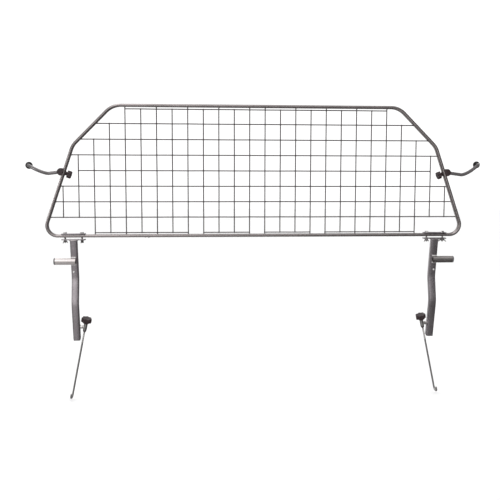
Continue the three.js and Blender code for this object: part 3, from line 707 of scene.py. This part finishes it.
# Wire mesh
def row_height(row):
    """How high a level wire lies."""
    height = RAIL_THICK + BOTTOM_ROW_GAP + BARE_WIRE_RADIUS + row * MESH_PITCH
    return height - (TOP_ROW_DROP if row == ROWS - 1 else 0)


def column_place(column):
    """How far from the middle an upright wire lies."""
    return (column + 0.5) * MESH_PITCH


def side_edge(height):
    """Distance from the middle to the tube's centre line at a height, on the straight parts."""
    rise = height - RAIL_CENTRE
    if rise < SHOULDER_RISE:
        return BOTTOM_HALF - (BOTTOM_HALF - SHOULDER_HALF) * rise / SHOULDER_RISE
    beyond = rise - SHOULDER_RISE
    return SHOULDER_HALF - (SHOULDER_HALF - TOP_HALF) * beyond / (TOP_RISE - SHOULDER_RISE)


def make_wire(start, end):
    """A straight wire that wanders a little between its welds."""
    count = max(2, round((end - start).length / (MESH_PITCH * MM)))
    points = [start.lerp(end, i / count) for i in range(count + 1)]
    for place in points[1:-1]:
        place += point(
            chance.uniform(-WIRE_WANDER, WIRE_WANDER), 0, chance.uniform(-WIRE_WANDER, WIRE_WANDER),
        )
    wire = round_section(WIRE_RADIUS, 12, start, end - start)
    return run_along(wire, points)


def wire_lines():
    """The start and end of each wire, and the places where wires end on the tube."""
    lines = []
    ends = []
    for column in range(COLUMNS):
        low_row = BOTTOM_ROW_OF_COLUMN.get(column, 0)
        high_row = TOP_ROW_OF_COLUMN.get(column, ROWS - 1)
        low = row_height(low_row) - WIRE_TAIL
        high = row_height(high_row) + WIRE_TAIL
        if column in COLUMNS_TO_BOTTOM_RAIL:
            low = RAIL_THICK - WIRE_IN_TUBE
        if column in COLUMNS_TO_TOP_RAIL:
            high = TOP_RISE + WIRE_IN_TUBE
        for side in (1, -1):
            x = side * column_place(column)
            lines.append((point(x, -WIRE_SETBACK, low), point(x, -WIRE_SETBACK, high)))
            if column in COLUMNS_TO_BOTTOM_RAIL:
                ends.append(point(x, -WIRE_SETBACK, RAIL_THICK))
            if column in COLUMNS_TO_TOP_RAIL:
                ends.append(point(x, -WIRE_SETBACK, TOP_RISE))
    for row in range(1, ROWS):
        z = row_height(row)
        last = LAST_COLUMN_OF_ROW.get(row)
        if last is None:
            half = side_edge(z) - RAIL_THICK / 2
            slope = SIDE_ANGLE if z - RAIL_CENTRE < SHOULDER_RISE else math.pi / 4
            inner = half - WIRE_IN_TUBE / math.cos(slope)
            ends += [point(inner, WIRE_SETBACK, z), point(-inner, WIRE_SETBACK, z)]
        else:
            half = column_place(last) + WIRE_TAIL
        lines.append((point(-half, WIRE_SETBACK, z), point(half, WIRE_SETBACK, z)))
    for outer, inner in BOTTOM_ROW_PIECES:
        low = column_place(inner) - WIRE_TAIL
        high = column_place(outer) + WIRE_TAIL
        z = row_height(0)
        for side in (1, -1):
            lines.append((point(side * low, WIRE_SETBACK, z), point(side * high, WIRE_SETBACK, z)))
    return lines, ends


def crossings():
    """Where an upright wire crosses a level one."""
    places = []
    for column in range(COLUMNS):
        low_row = BOTTOM_ROW_OF_COLUMN.get(column, 0)
        high_row = TOP_ROW_OF_COLUMN.get(column, ROWS - 1)
        for row in range(low_row, high_row + 1):
            last = LAST_COLUMN_OF_ROW.get(row, COLUMNS)
            level = row > 0 or any(inner <= column <= outer for outer, inner in BOTTOM_ROW_PIECES)
            if column <= last and level:
                places += [point(side * column_place(column), 0, row_height(row)) for side in (1, -1)]
    return places


def weld_drop(radius, flat_share):
    """A small squashed blob of weld metal of a few dozen faces."""
    bpy.ops.mesh.primitive_uv_sphere_add(segments=8, ring_count=6, radius=radius * MM)
    drop = bpy.context.object
    begin_edit(drop)
    pick_all()
    spread(1, flat_share, 1)
    end_edit()
    return drop


def make_mesh_panel(coats):
    lines, ends = wire_lines()
    wires = join([make_wire(start, end) for start, end in lines])
    # The wires get the darker coat: painted shade on the mesh's grey paint
    finish(wires, "welded_wires", "frame", coats["shaded_wire_coat"], stands_for=["mesh_panel"])

    first = weld_drop(*CROSSING_DROP)
    drops = [copy_at(first, at) for at in crossings()]
    bpy.data.objects.remove(first)
    finish(
        join(drops), "wire_crossing_welds", "frame", coats["weld_coat"],
        angle=ROUND_ON_WELDS,
    )

    first = weld_drop(*WIRE_END_DROP)
    drops = [copy_at(first, at) for at in ends]
    bpy.data.objects.remove(first)
    finish(
        join(drops), "wire_end_welds", "frame", coats["weld_coat"], angle=ROUND_ON_WELDS,
    )


# Leg clamp
def make_clamp_plate(height):
    plate = square_section(PLATE_LONG, PLATE_DEEP, PLATE_CORNER, 5)
    begin_edit(plate)
    pick_all()
    bpy.ops.transform.translate(value=tuple(point(0, 0, height - PLATE_THICK)))
    push(point(0, 0, PLATE_THICK))
    end_edit()
    for side in (-1, 1):
        at = (side * BOLT_SPACING / 2, 0, height)
        carve(plate, cylinder(28, BOLT_RADIUS + SEAT_GAP, 4 * PLATE_THICK, at))
    softened(plate, 0.45)
    return plate


def hexagon(across, low, high, chamfer):
    """A hexagon along Z whose corners are turned off at the top."""
    radius = across / 2 / math.cos(math.pi / 6)
    blank = place_in_mesh(cylinder(6, radius, high - low, (0, 0, (low + high) / 2)))
    clear = radius + 1
    cone = turned([
        (0, low - 1), (clear, low - 1), (clear, high - chamfer - 0.6), (across / 2 - 0.3, high),
        (0, high + 0.001),
    ], 40)
    return carve(blank, cone, "INTERSECT")


def make_clamp_bolt():
    head = hexagon(HEAD_ACROSS, 0, HEAD_HIGH, HEAD_CHAMFER)
    shank = threaded(BOLT_RADIUS, -BOLT_LONG, HEAD_HIGH / 2)
    return join([head, shank])


def make_wing_nut():
    """A cast wing nut that hangs below height 0, with its wings along X."""
    middle = (0, 0, -HUB_HIGH / 2)
    nut = cylinder(8, HUB_TOP_RADIUS * HUB_SWELL_SHARE, HUB_HIGH, middle, (0, 0, math.pi / 8))
    place_in_mesh(nut)
    begin_edit(nut)
    pick(nut, "FACE", lambda at, normal: normal.z < -0.9)
    narrowing = HUB_FOOT_RADIUS / HUB_TOP_RADIUS
    spread(narrowing, narrowing, 1, centre=point(0, 0, -HUB_HIGH))
    pick(nut, "FACE", lambda at, normal: abs(normal.z) > 0.9)
    for inset in NUT_INSETS:
        bpy.ops.mesh.inset(thickness=inset * MM)
    for side in (1, -1):
        pick(nut, "FACE", lambda at, normal: normal.x * side > 0.8)
        push(point(side * 0.8, 0, -0.2))
        spread(1, 0.62, 0.8, centre=point(side * 6, 0, -3.4))
        for out, down, size in WING_STEPS:
            push(point(side * out, 0, down))
            spread(1, 0.95, size, centre=point(side * 9, 0, -5 + down))
    end_edit()
    tidy_mesh(nut)
    smoothed(nut)
    return carve(nut, cylinder(28, BOLT_RADIUS + NUT_PLAY, depth=30, at=middle))


def make_leg_clamp(side, name, coats):
    middle = Matrix.Translation(point(LEG_OUT, 0, 0))
    finish(
        make_clamp_plate(RAIL_THICK + PLATE_THICK), f"{name}_rail_strap", "frame",
        coats["leg_coat"], middle, side, [f"{name}_strap_plate"],
    )
    finish(
        make_clamp_plate(-PLATE_GAP), f"{name}_leg_flange", f"{name}_leg",
        coats["leg_coat"], middle, side, [f"{name}_leg_plate"],
    )
    for i, where in enumerate(("inner", "outer")):
        x = LEG_OUT + (i - 0.5) * BOLT_SPACING
        bolt_place = Matrix.Translation(point(x, 0, RAIL_THICK + PLATE_THICK))
        twist = Matrix.Rotation(math.radians(HEAD_TURNS[i]), 4, "Z")
        finish(
            make_clamp_bolt(), f"{name}_{where}_bolt", "frame",
            coats["zinc_plate"], bolt_place @ twist, side, [f"{name}_clamp_bolt_{where}"],
        )
        wings = Matrix.Rotation(math.radians(side * WING_TURNS[name][i]), 4, "Z")
        finish(
            make_wing_nut(), f"{name}_{where}_wing_nut", f"{name}_{where}_wing_nut",
            coats["zinc_plate"], Matrix.Translation(point(x, 0, LEG_TOP)) @ wings, side,
            [f"{name}_wing_nut_{where}"], angle=ROUND_ON_KNOBS,
        )


# Leg, stub tube and their welds
def leg_back(drop):
    """How far back the leg's centre line lies, in millimetres, at a drop below the origin."""
    stations = ((0, -LEG_TOP), (KNEE[0], -KNEE[1]), (SHIN[0], -SHIN[1]), (LEG_END[0], -LEG_END[1]))
    for (y0, d0), (y1, d1) in zip(stations, stations[1:]):
        if drop <= d1:
            return y0 + (y1 - y0) * (drop - d0) / (d1 - d0)
    return LEG_END[0]


def make_leg(side, name, coats):
    tube = square_section(LEG_THICK, LEG_THICK, LEG_CORNER, 4)
    facing_down = Matrix.Rotation(math.pi, 4, "X")
    place_in_mesh(tube, Matrix.Translation(point(LEG_OUT, 0, LEG_TOP)) @ facing_down)
    path = bent([
        (point(LEG_OUT, 0, LEG_TOP), 0, 0),
        (point(LEG_OUT, *KNEE), LEG_BEND, 8),
        (point(LEG_OUT, *SHIN), LEG_BEND, 8),
        (point(LEG_OUT, *LEG_END), 0, 0),
    ])
    run_along(tube, path, facing=Vector((0, 0, -1)))
    finish(
        tube, f"{name}_leg_square_tube", f"{name}_leg", coats["leg_coat"],
        None, side, [f"{name}_leg_tube"],
    )

    plug = square_section(LEG_THICK - SEAT_GAP, LEG_THICK - SEAT_GAP, LEG_CORNER, 4)
    begin_edit(plug)
    pick_all()
    push(point(0, 0, -PLUG_RIM * 0.7))
    push(point(0, 0, -PLUG_RIM * 0.3))
    spread(0.93, 0.93, 1)
    for inset in PLUG_INSETS:
        bpy.ops.mesh.inset(thickness=inset * MM)
    bpy.ops.transform.translate(value=tuple(point(0, 0, PLUG_DENT)))
    end_edit()
    slope = math.atan2(LEG_END[0] - SHIN[0], SHIN[1] - LEG_END[1])
    plug_place = Matrix.Translation(point(LEG_OUT, *LEG_END)) @ Matrix.Rotation(slope, 4, "X")
    finish(
        plug, f"{name}_leg_foot_plug", f"{name}_leg", coats["black_plastic"],
        plug_place @ Matrix.Translation(point(0, 0, -SEAT_GAP / 2)), side, [f"{name}_leg_end_plug"],
    )

    half = LEG_THICK / 2 + FLANGE_BEAD_PROUD
    ring = bent([
        (point(LEG_OUT + x * half, y * half, LEG_TOP - 1.0), LEG_CORNER, 3)
        for x, y in ((1, -1), (1, 1), (-1, 1), (-1, -1), (1, -1))
    ])
    finish(
        weld_bead(ring, FLANGE_BEAD), f"{name}_leg_flange_weld", f"{name}_leg",
        coats["weld_coat"], None, side, angle=ROUND_ON_WELDS,
    )


def make_stub(side, name, coats):
    start = Matrix.Translation(point(STUB_INNER_END, STUB_BACK, -STUB_DROP))
    place = start @ Matrix.Rotation(math.pi / 2, 4, "Y")
    inner = STUB_RADIUS - STUB_WALL
    tube = turned([
        (STUB_RADIUS - STUB_CHAMFER, 0), (STUB_RADIUS, STUB_CHAMFER),
        (STUB_RADIUS, STUB_LONG - STUB_CHAMFER), (STUB_RADIUS - STUB_CHAMFER, STUB_LONG),
        (inner + STUB_CHAMFER, STUB_LONG), (inner, STUB_LONG - STUB_CHAMFER),
        (inner, STUB_CHAMFER), (inner + STUB_CHAMFER, 0), (STUB_RADIUS - STUB_CHAMFER, 0),
    ], 48)
    # The stub tube wears the lighter coat, a painted highlight over the leg's own paint
    finish(
        tube, f"{name}_stub_round_tube", f"{name}_leg", coats["lit_stub_coat"],
        place, side, [f"{name}_stub_tube"],
    )
    spigot = inner - SEAT_GAP
    cap = turned([
        (0, STUB_LONG + 2.6), (spigot - 1.6, STUB_LONG + 2.6), (spigot - 1.6, STUB_LONG - CAP_PLUG),
        (spigot, STUB_LONG - CAP_PLUG), (spigot, STUB_LONG + 0.1),
        (STUB_RADIUS - 0.3, STUB_LONG + 0.1), (STUB_RADIUS, STUB_LONG + 0.5),
        (STUB_RADIUS, STUB_LONG + CAP_RIM - 1.8), (STUB_RADIUS - 0.5, STUB_LONG + CAP_RIM - 0.6),
        (STUB_RADIUS - 1.6, STUB_LONG + CAP_RIM), (0, STUB_LONG + CAP_RIM),
    ], 48)
    finish(
        cap, f"{name}_stub_end_cap", f"{name}_leg", coats["grey_plastic"],
        place, side, [f"{name}_stub_cap"],
    )
    beads = []
    for up in (1, -1):
        for beyond, proud, radius in STUB_BEADS:
            drop = STUB_DROP - up * beyond
            y = leg_back(drop) - LEG_THICK / 2 - proud
            beads.append(weld_bead([
                point(STUB_INNER_END + 0.6, y, -drop), point(LEG_OUT + LEG_THICK / 2 - 0.6, y, -drop),
            ], radius))
    finish(
        join(beads), f"{name}_stub_welds", f"{name}_leg", coats["bright_weld"],
        None, side, angle=ROUND_ON_WELDS,
    )
    spot = weld_drop(*LEG_SPOT)
    spot_place = point(LEG_OUT + SPOT_ASIDE, leg_back(SPOT_DROP) - LEG_THICK / 2 - 0.3, -SPOT_DROP)
    finish(
        spot, f"{name}_leg_spot_weld", f"{name}_leg", coats["bright_weld"],
        Matrix.Translation(spot_place), side, angle=ROUND_ON_WELDS,
    )


# Foot of the leg
def star_head(radius, low, thick):
    """A seven-lobed grip along Z with rounded rims and a shallow dished top."""
    rim = KNOB_RIM
    bpy.ops.mesh.primitive_circle_add(
        vertices=KNOB_LOBES * 4, radius=(radius - rim * 0.35) * MM, fill_type="NGON",
        location=point(0, 0, low),
    )
    head = place_in_mesh(bpy.context.object)
    begin_edit(head)
    for depth, share in KNOB_DIP_SHARES:
        def in_dip(at, normal):
            beat = math.cos(KNOB_LOBES * math.atan2(at.x, at.y))
            return abs(beat - depth) < 0.3
        pick(head, "VERT", in_dip)
        spread(share, share, 1)
    pick_all()
    spread(0.82, 0.82, 1)
    push(point(0, 0, 0))
    spread(1.12, 1.12, 1)
    rings = [(share * rim, size) for share, size in KNOB_LOWER_RIM_SHARES]
    rings.append((thick - 2 * rim, 1.0))
    rings += [(share * rim, size) for share, size in KNOB_UPPER_RIM_SHARES]
    for rise, size in rings:
        push(point(0, 0, rise))
        spread(size, size, 1)
    outer, middle, inner = KNOB_TOP_RINGS
    bpy.ops.mesh.inset(thickness=outer * MM)
    bpy.ops.mesh.inset(thickness=middle * MM)
    bpy.ops.transform.translate(value=tuple(point(0, 0, -KNOB_DISH)))
    bpy.ops.mesh.inset(thickness=inner * MM)
    end_edit()
    tidy_mesh(head)
    smoothed(head)
    return head


def make_foot(side, name, coats):
    pivot = Matrix.Translation(point(PIVOT_OUT, PIVOT_BACK, -PIVOT_DROP))
    lean = pivot @ Matrix.Rotation(math.radians(ROD_LEAN), 4, "X")
    along_rod = lean @ Matrix.Rotation(math.radians(-ROD_TILTS[name]), 4, "Y")
    leg_face = LEG_OUT - LEG_THICK / 2 - PIVOT_OUT
    sideways = Matrix.Rotation(math.pi / 2, 4, "Y")

    boss_end = leg_face - BOSS_LONG
    boss = turned([
        (PIN_RADIUS, boss_end), (BOSS_RADIUS - 0.5, boss_end), (BOSS_RADIUS, boss_end + 0.5),
        (BOSS_RADIUS, leg_face + 0.2), (PIN_RADIUS, leg_face + 0.2), (PIN_RADIUS, boss_end),
    ], 36)
    finish(
        boss, f"{name}_pivot_tube", f"{name}_leg", coats["zinc_plate"],
        pivot @ sideways, side, [f"{name}_pivot_boss"],
    )
    ring = [
        point(leg_face - 0.7, PIVOT_BEAD_RING * math.cos(angle), PIVOT_BEAD_RING * math.sin(angle))
        for angle in (i * math.pi / 12 for i in range(25))
    ]
    finish(
        weld_bead(ring, PIVOT_BEAD, 8), f"{name}_pivot_weld", f"{name}_leg",
        coats["weld_coat"], pivot, side, angle=ROUND_ON_WELDS,
    )

    bore = ROD_RADIUS + RUNNING_GAP
    sleeve = turned([
        (bore + 0.4, -SLEEVE_HALF), (SLEEVE_RADIUS - 0.8, -SLEEVE_HALF),
        (SLEEVE_RADIUS, -SLEEVE_HALF + 0.8), (SLEEVE_RADIUS, SLEEVE_HALF - 0.8),
        (SLEEVE_RADIUS - 0.8, SLEEVE_HALF), (bore + 0.4, SLEEVE_HALF),
        (bore, SLEEVE_HALF - 0.4), (bore, -SLEEVE_HALF + 0.4), (bore + 0.4, -SLEEVE_HALF),
    ], 36)
    place_in_mesh(sleeve, Matrix.Rotation(math.radians(-ROD_TILTS[name]), 4, "Y"))
    collar_end = boss_end - SEAT_GAP
    collar = turned([
        (0, 4.4), (COLLAR_RADIUS + 0.7, 4.4), (COLLAR_RADIUS + 0.7, 6.4), (COLLAR_RADIUS, 7.1),
        (COLLAR_RADIUS, collar_end - 0.4), (COLLAR_RADIUS - 0.4, collar_end), (3, collar_end),
        (3, leg_face + 6), (0, leg_face + 6),
    ], 32)
    place_in_mesh(collar, sideways)
    finish(
        join([sleeve, collar]), f"{name}_rod_sleeve", f"{name}_foot", coats["zinc_plate"],
        lean, side, [f"{name}_foot_sleeve"],
    )

    bush_top = -SLEEVE_HALF - SEAT_GAP
    bush_end = bush_top - BUSH_LONG
    bush = turned([
        (bore, bush_top), (BUSH_RADIUS - 0.4, bush_top), (BUSH_RADIUS, bush_top - 0.4),
        (BUSH_RADIUS, bush_end + 1.2), (BUSH_RADIUS - 1.0, bush_end), (bore, bush_end), (bore, bush_top),
    ], 32)
    finish(
        bush, f"{name}_rod_guide", f"{name}_foot", coats["black_plastic"],
        along_rod, side, [f"{name}_rod_bush"],
    )

    low = SLEEVE_HALF + SEAT_GAP
    head_face = low + FOOT_NECK
    head = star_head(FOOT_KNOB_RADIUS, head_face, FOOT_KNOB_THICK)
    neck = turned([
        (INSERT_BORE, low), (FOOT_NECK_RADIUS - 0.5, low), (FOOT_NECK_RADIUS, low + 0.5),
        (FOOT_NECK_RADIUS - 0.3, head_face - 0.8), (FOOT_NECK_RADIUS + 1.2, head_face + 0.6),
        (INSERT_BORE, head_face + 0.6), (INSERT_BORE, low),
    ], 36)
    finish(
        join([head, neck]), f"{name}_foot_grip", f"{name}_adjuster",
        coats["black_plastic"], along_rod, side, [f"{name}_foot_knob"], angle=ROUND_ON_KNOBS,
    )

    screw = threaded(ROD_RADIUS, ROD_THREAD_END, ROD_TOP)
    turn_way = Matrix.Rotation(math.radians(-HOOK_TURN), 3, "Z")
    hook_wide = 2 * HOOK_RADIUS * MM
    path = bent([
        (Vector((0, 0, (ROD_THREAD_END + 1) * MM)), 0, 0),
        (Vector((0, 0, -ROD_REACH * MM)), HOOK_RADIUS, 10),
        (turn_way @ Vector((hook_wide, 0, -ROD_REACH * MM)), HOOK_RADIUS, 10),
        (turn_way @ Vector((hook_wide, 0, (-ROD_REACH + HOOK_RADIUS + HOOK_TIP) * MM)), 0, 0),
    ])
    sizes = [1.0] * len(path)
    last = path[-1]
    for beyond, size in ROD_TIP_RINGS:
        path.append(last + Vector((0, 0, beyond * MM)))
        sizes.append(size)
    rod = round_section(ROD_RADIUS, 20, path[0], Vector((0, 0, -1)))
    run_along(rod, path, sizes=sizes)
    finish(
        join([rod, screw]), f"{name}_hooked_rod", f"{name}_hook", coats["zinc_plate"],
        along_rod, side, [f"{name}_hook_rod"], angle=ROUND_ON_KNOBS,
    )


# Side arm
def make_arm_clamp(side, name, coats):
    place = Matrix.Translation(point(CLAMP_OUT, 0, CLAMP_HEIGHT)) @ Matrix.Rotation(-SIDE_ANGLE, 4, "Y")
    face = RAIL_THICK / 2
    arm_turn = SIDE_ANGLE + ARM_SLOPE

    block = cylinder(56, BLOCK_RADIUS, BLOCK_DEEP, (BLOCK_OUT, 0, 0), (math.pi / 2, 0, 0))
    place_in_mesh(block)
    begin_edit(block)
    pick_all()
    bpy.ops.mesh.bisect(
        plane_co=point(face - SADDLE_LIP, 0, 0), plane_no=(1, 0, 0), use_fill=True, clear_inner=True,
    )
    pick(block, "FACE", lambda at, normal: abs(normal.y) > 0.9)
    bpy.ops.mesh.bevel(offset=BLOCK_ROUND * MM, segments=3, affect="EDGES")
    end_edit()
    bpy.ops.mesh.primitive_cube_add(size=1)
    saddle = bpy.context.object
    begin_edit(saddle)
    pick_all()
    play = 2 * SEAT_GAP
    spread((RAIL_THICK + play) * MM, (RAIL_DEEP + play) * MM, 4 * BLOCK_RADIUS * MM)
    end_edit()
    carve(block, saddle)
    socket_deep = 24
    socket = cylinder(36, ARM_RADIUS + RUNNING_GAP, socket_deep)
    along_arm = Matrix.Rotation(arm_turn + math.pi / 2, 4, "Y")
    place_in_mesh(
        socket, Matrix.Translation(point(BLOCK_OUT, 0, 0)) @ along_arm
        @ Matrix.Translation(point(0, 0, ARM_IN_BLOCK + socket_deep / 2 - SEAT_GAP)),
    )
    carve(block, socket)
    softened(block, 0.35, angle=40)
    finish(
        block, f"{name}_saddle_block", "frame", coats["black_plastic"],
        place, side, [f"{name}_arm_block"], angle=ROUND_ON_BLOCKS,
    )

    inwards = place @ Matrix.Rotation(-math.pi / 2, 4, "Y")
    washer_low = face + SEAT_GAP
    washer_high = washer_low + WASHER_THICK
    washer_bore = BOLT_RADIUS + RUNNING_GAP
    washer = turned([
        (washer_bore, washer_low), (WASHER_RADIUS - 0.3, washer_low), (WASHER_RADIUS, washer_low + 0.3),
        (WASHER_RADIUS, washer_high - 0.3), (WASHER_RADIUS - 0.3, washer_high),
        (washer_bore, washer_high), (washer_bore, washer_low),
    ], 36)
    finish(
        washer, f"{name}_clamp_washer", f"{name}_clamp_washer",
        coats["black_plastic"], inwards, side, [f"{name}_arm_washer"],
    )

    neck_face = washer_high + SEAT_GAP
    head_face = neck_face + ARM_NECK
    head = star_head(ARM_KNOB_RADIUS, head_face, ARM_KNOB_THICK)
    neck = turned([
        (STUD_BORE, neck_face), (ARM_NECK_RADIUS - 0.4, neck_face), (ARM_NECK_RADIUS, neck_face + 0.4),
        (ARM_NECK_RADIUS, head_face - 0.8), (ARM_NECK_RADIUS + 1.2, head_face + 0.6),
        (STUD_BORE, head_face + 0.6), (STUD_BORE, neck_face),
    ], 32)
    finish(
        join([head, neck]), f"{name}_clamp_grip", f"{name}_clamp_knob",
        coats["black_plastic"], inwards, side, [f"{name}_arm_knob"], angle=ROUND_ON_KNOBS,
    )


def bezier(start, first, second, end, count):
    """Points along a curve, without its start."""
    points = []
    for i in range(1, count + 1):
        t = i / count
        points.append(
            start * (1 - t) ** 3 + first * 3 * t * (1 - t) ** 2
            + second * 3 * t * t * (1 - t) + end * t ** 3
        )
    return points


def make_arm(side, name, coats):
    place = Matrix.Translation(point(
        CLAMP_OUT + BLOCK_OUT * math.cos(SIDE_ANGLE), 0, CLAMP_HEIGHT + BLOCK_OUT * math.sin(SIDE_ANGLE),
    ))
    way = Vector((math.cos(ARM_SLOPE), 0, -math.sin(ARM_SLOPE)))
    kink = way * KINK_REACHES[name] * MM
    reach = kink.x / MM + ARM_SPAN
    rise = ARM_RISES[name]
    end = point(reach, ARM_BACK, rise)
    before_end = point(reach, ARM_BACK - ARM_STRAIGHT, rise)
    first, second = (
        point(kink.x / MM + x * ARM_SPAN, y * ARM_BACK, z * rise) for x, y, z in ARM_CONTROL_SHARES
    )
    curve = bezier(kink, first, second, before_end, 22)
    start_of_kink = kink - way * KINK_EASE * MM
    eased = bezier(start_of_kink, kink, kink, curve[1], 8)
    path = [way * ARM_IN_BLOCK * MM, start_of_kink, *eased, *curve[2:], end]
    rod = round_section(ARM_RADIUS, 28, path[0], way)
    run_along(rod, path)
    finish(
        rod, f"{name}_bent_arm", f"{name}_arm", coats["drawn_steel"],
        place, side, [f"{name}_arm_rod"],
    )

    socket = ARM_RADIUS + SEAT_GAP
    socket_end = ARM_BACK + SEAT_GAP
    shoulder = PAD_FACE - 6.5
    foot = turned([
        (0, socket_end), (socket, socket_end), (socket, shoulder - 7), (6.9, shoulder - 7),
        (7.5, shoulder - 6.4), (7.6, shoulder - 2), (8.1, shoulder - 0.6), (9.2, shoulder),
        (PAD_RADIUS - 1.4, shoulder),
        (PAD_RADIUS - 0.4, shoulder + 0.5), (PAD_RADIUS, shoulder + 1.6), (PAD_RADIUS, PAD_FACE - 1.8),
        (PAD_RADIUS - 0.5, PAD_FACE - 0.6), (PAD_RADIUS - 1.7, PAD_FACE), (PAD_RADIUS - 4, PAD_FACE),
        (PAD_RADIUS - 4.5, PAD_FACE - 0.5), (PAD_RADIUS - 5, PAD_FACE), (0, PAD_FACE),
    ], 40)
    facing_back = Matrix.Translation(point(reach, 0, rise)) @ Matrix.Rotation(-math.pi / 2, 4, "X")
    finish(
        foot, f"{name}_arm_rubber_foot", f"{name}_arm", coats["black_rubber"],
        place @ facing_back, side, [f"{name}_arm_pad"],
    )


def finish_kept_nodes(coats):
    """Inner pieces keep their solids and get their real finish."""
    kept = {
        "foot_knob_insert": "turned_brass", "arm_nut": "zinc_plate", "arm_stud": "zinc_plate",
        "pivot_clip": "zinc_plate",
    }
    for name, coat in kept.items():
        for side in ("left", "right"):
            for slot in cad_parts[f"{side}_{name}"].material_slots:
                slot.material = coats[coat]


# Studio
def make_floor():
    bpy.ops.mesh.primitive_plane_add(size=FLOOR_WIDE, location=(0, 0, cad_low.z - FLOOR_DROP))
    floor = place_in_mesh(bpy.context.object)
    floor.name = "studio_floor"
    floor.visible_glossy = False
    material, nodes, links, shader = new_material("pale_floor")
    drift = object_noise(nodes, links, scale=0.8, detail=2)
    dark, light = FLOOR_TONES
    tone = ramp(nodes, links, drift, ((0.3, (dark,) * 3), (0.7, (light,) * 3)))
    links.new(tone, shader.inputs["Base Color"])
    shader.inputs["Roughness"].default_value = 0.9
    floor.data.materials.append(material)


def add_light(name, at, target, width, power):
    """A square light, in metres and watts, turned to its target."""
    data = bpy.data.lights.new(name, "AREA")
    data.shape = "RECTANGLE"
    data.size = width
    data.size_y = width
    data.energy = power
    light = bpy.data.objects.new(name, data)
    bpy.context.scene.collection.objects.link(light)
    light.location = at
    light.rotation_euler = (Vector(target) - Vector(at)).to_track_quat("-Z", "Y").to_euler()


def light_studio():
    """White all round, but to what shines a room that is bright at the upper left."""
    world = bpy.data.worlds.new("studio")
    world.use_nodes = True
    nodes = world.node_tree.nodes
    links = world.node_tree.links
    white = nodes["Background"]
    white.inputs["Color"].default_value = (1, 1, 1, 1)
    white.inputs["Strength"].default_value = WHITE_TONE
    place = nodes.new("ShaderNodeTexCoord")
    split = nodes.new("ShaderNodeSeparateXYZ")
    links.new(place.outputs["Generated"], split.inputs["Vector"])

    def graded(axis, stops):
        share = nodes.new("ShaderNodeMapRange")
        share.inputs["From Min"].default_value = -1.0
        links.new(split.outputs[axis], share.inputs["Value"])
        places = [((at + 1) / 2, (tone,) * 3) for at, tone in stops]
        return ramp(nodes, links, share.outputs["Result"], places)

    def combined(operation, first, second):
        node = nodes.new("ShaderNodeVectorMath")
        node.operation = operation
        links.new(first, node.inputs[0])
        links.new(second, node.inputs[1])
        return node.outputs["Vector"]

    tone = combined("MULTIPLY", graded("X", LEFT_TO_RIGHT), graded("Y", FRONT_TO_BACK))
    tone = combined("MULTIPLY", tone, graded("Z", LOW_TO_HIGH))
    tone = combined("ADD", tone, graded("Z", CEILING))
    room = nodes.new("ShaderNodeBackground")
    links.new(tone, room.inputs["Color"])
    room.inputs["Strength"].default_value = ROOM_TONE
    path = nodes.new("ShaderNodeLightPath")
    mix = nodes.new("ShaderNodeMixShader")
    links.new(path.outputs["Is Glossy Ray"], mix.inputs["Fac"])
    links.new(white.outputs["Background"], mix.inputs[1])
    links.new(room.outputs["Background"], mix.inputs[2])
    links.new(mix.outputs["Shader"], nodes["World Output"].inputs["Surface"])
    bpy.context.scene.world = world
    bpy.context.scene.view_settings.view_transform = "Standard"
    add_light("left_side", at=(-2.6, -0.3, 0.5), target=(-0.7, 0, 0.2), width=0.6, power=6)
    add_light("right_back", at=(2.0, 2.3, 1.3), target=(0.7, 0, 0.2), width=0.7, power=5)


set_camera()
finishes = make_finishes()
make_frame_tube(finishes)
make_mesh_panel(finishes)
for side_sign, side_name in ((1, "right"), (-1, "left")):
    make_leg_clamp(side_sign, side_name, finishes)
    make_leg(side_sign, side_name, finishes)
    make_stub(side_sign, side_name, finishes)
    make_foot(side_sign, side_name, finishes)
    make_arm_clamp(side_sign, side_name, finishes)
    make_arm(side_sign, side_name, finishes)
finish_kept_nodes(finishes)
make_floor()
light_studio()
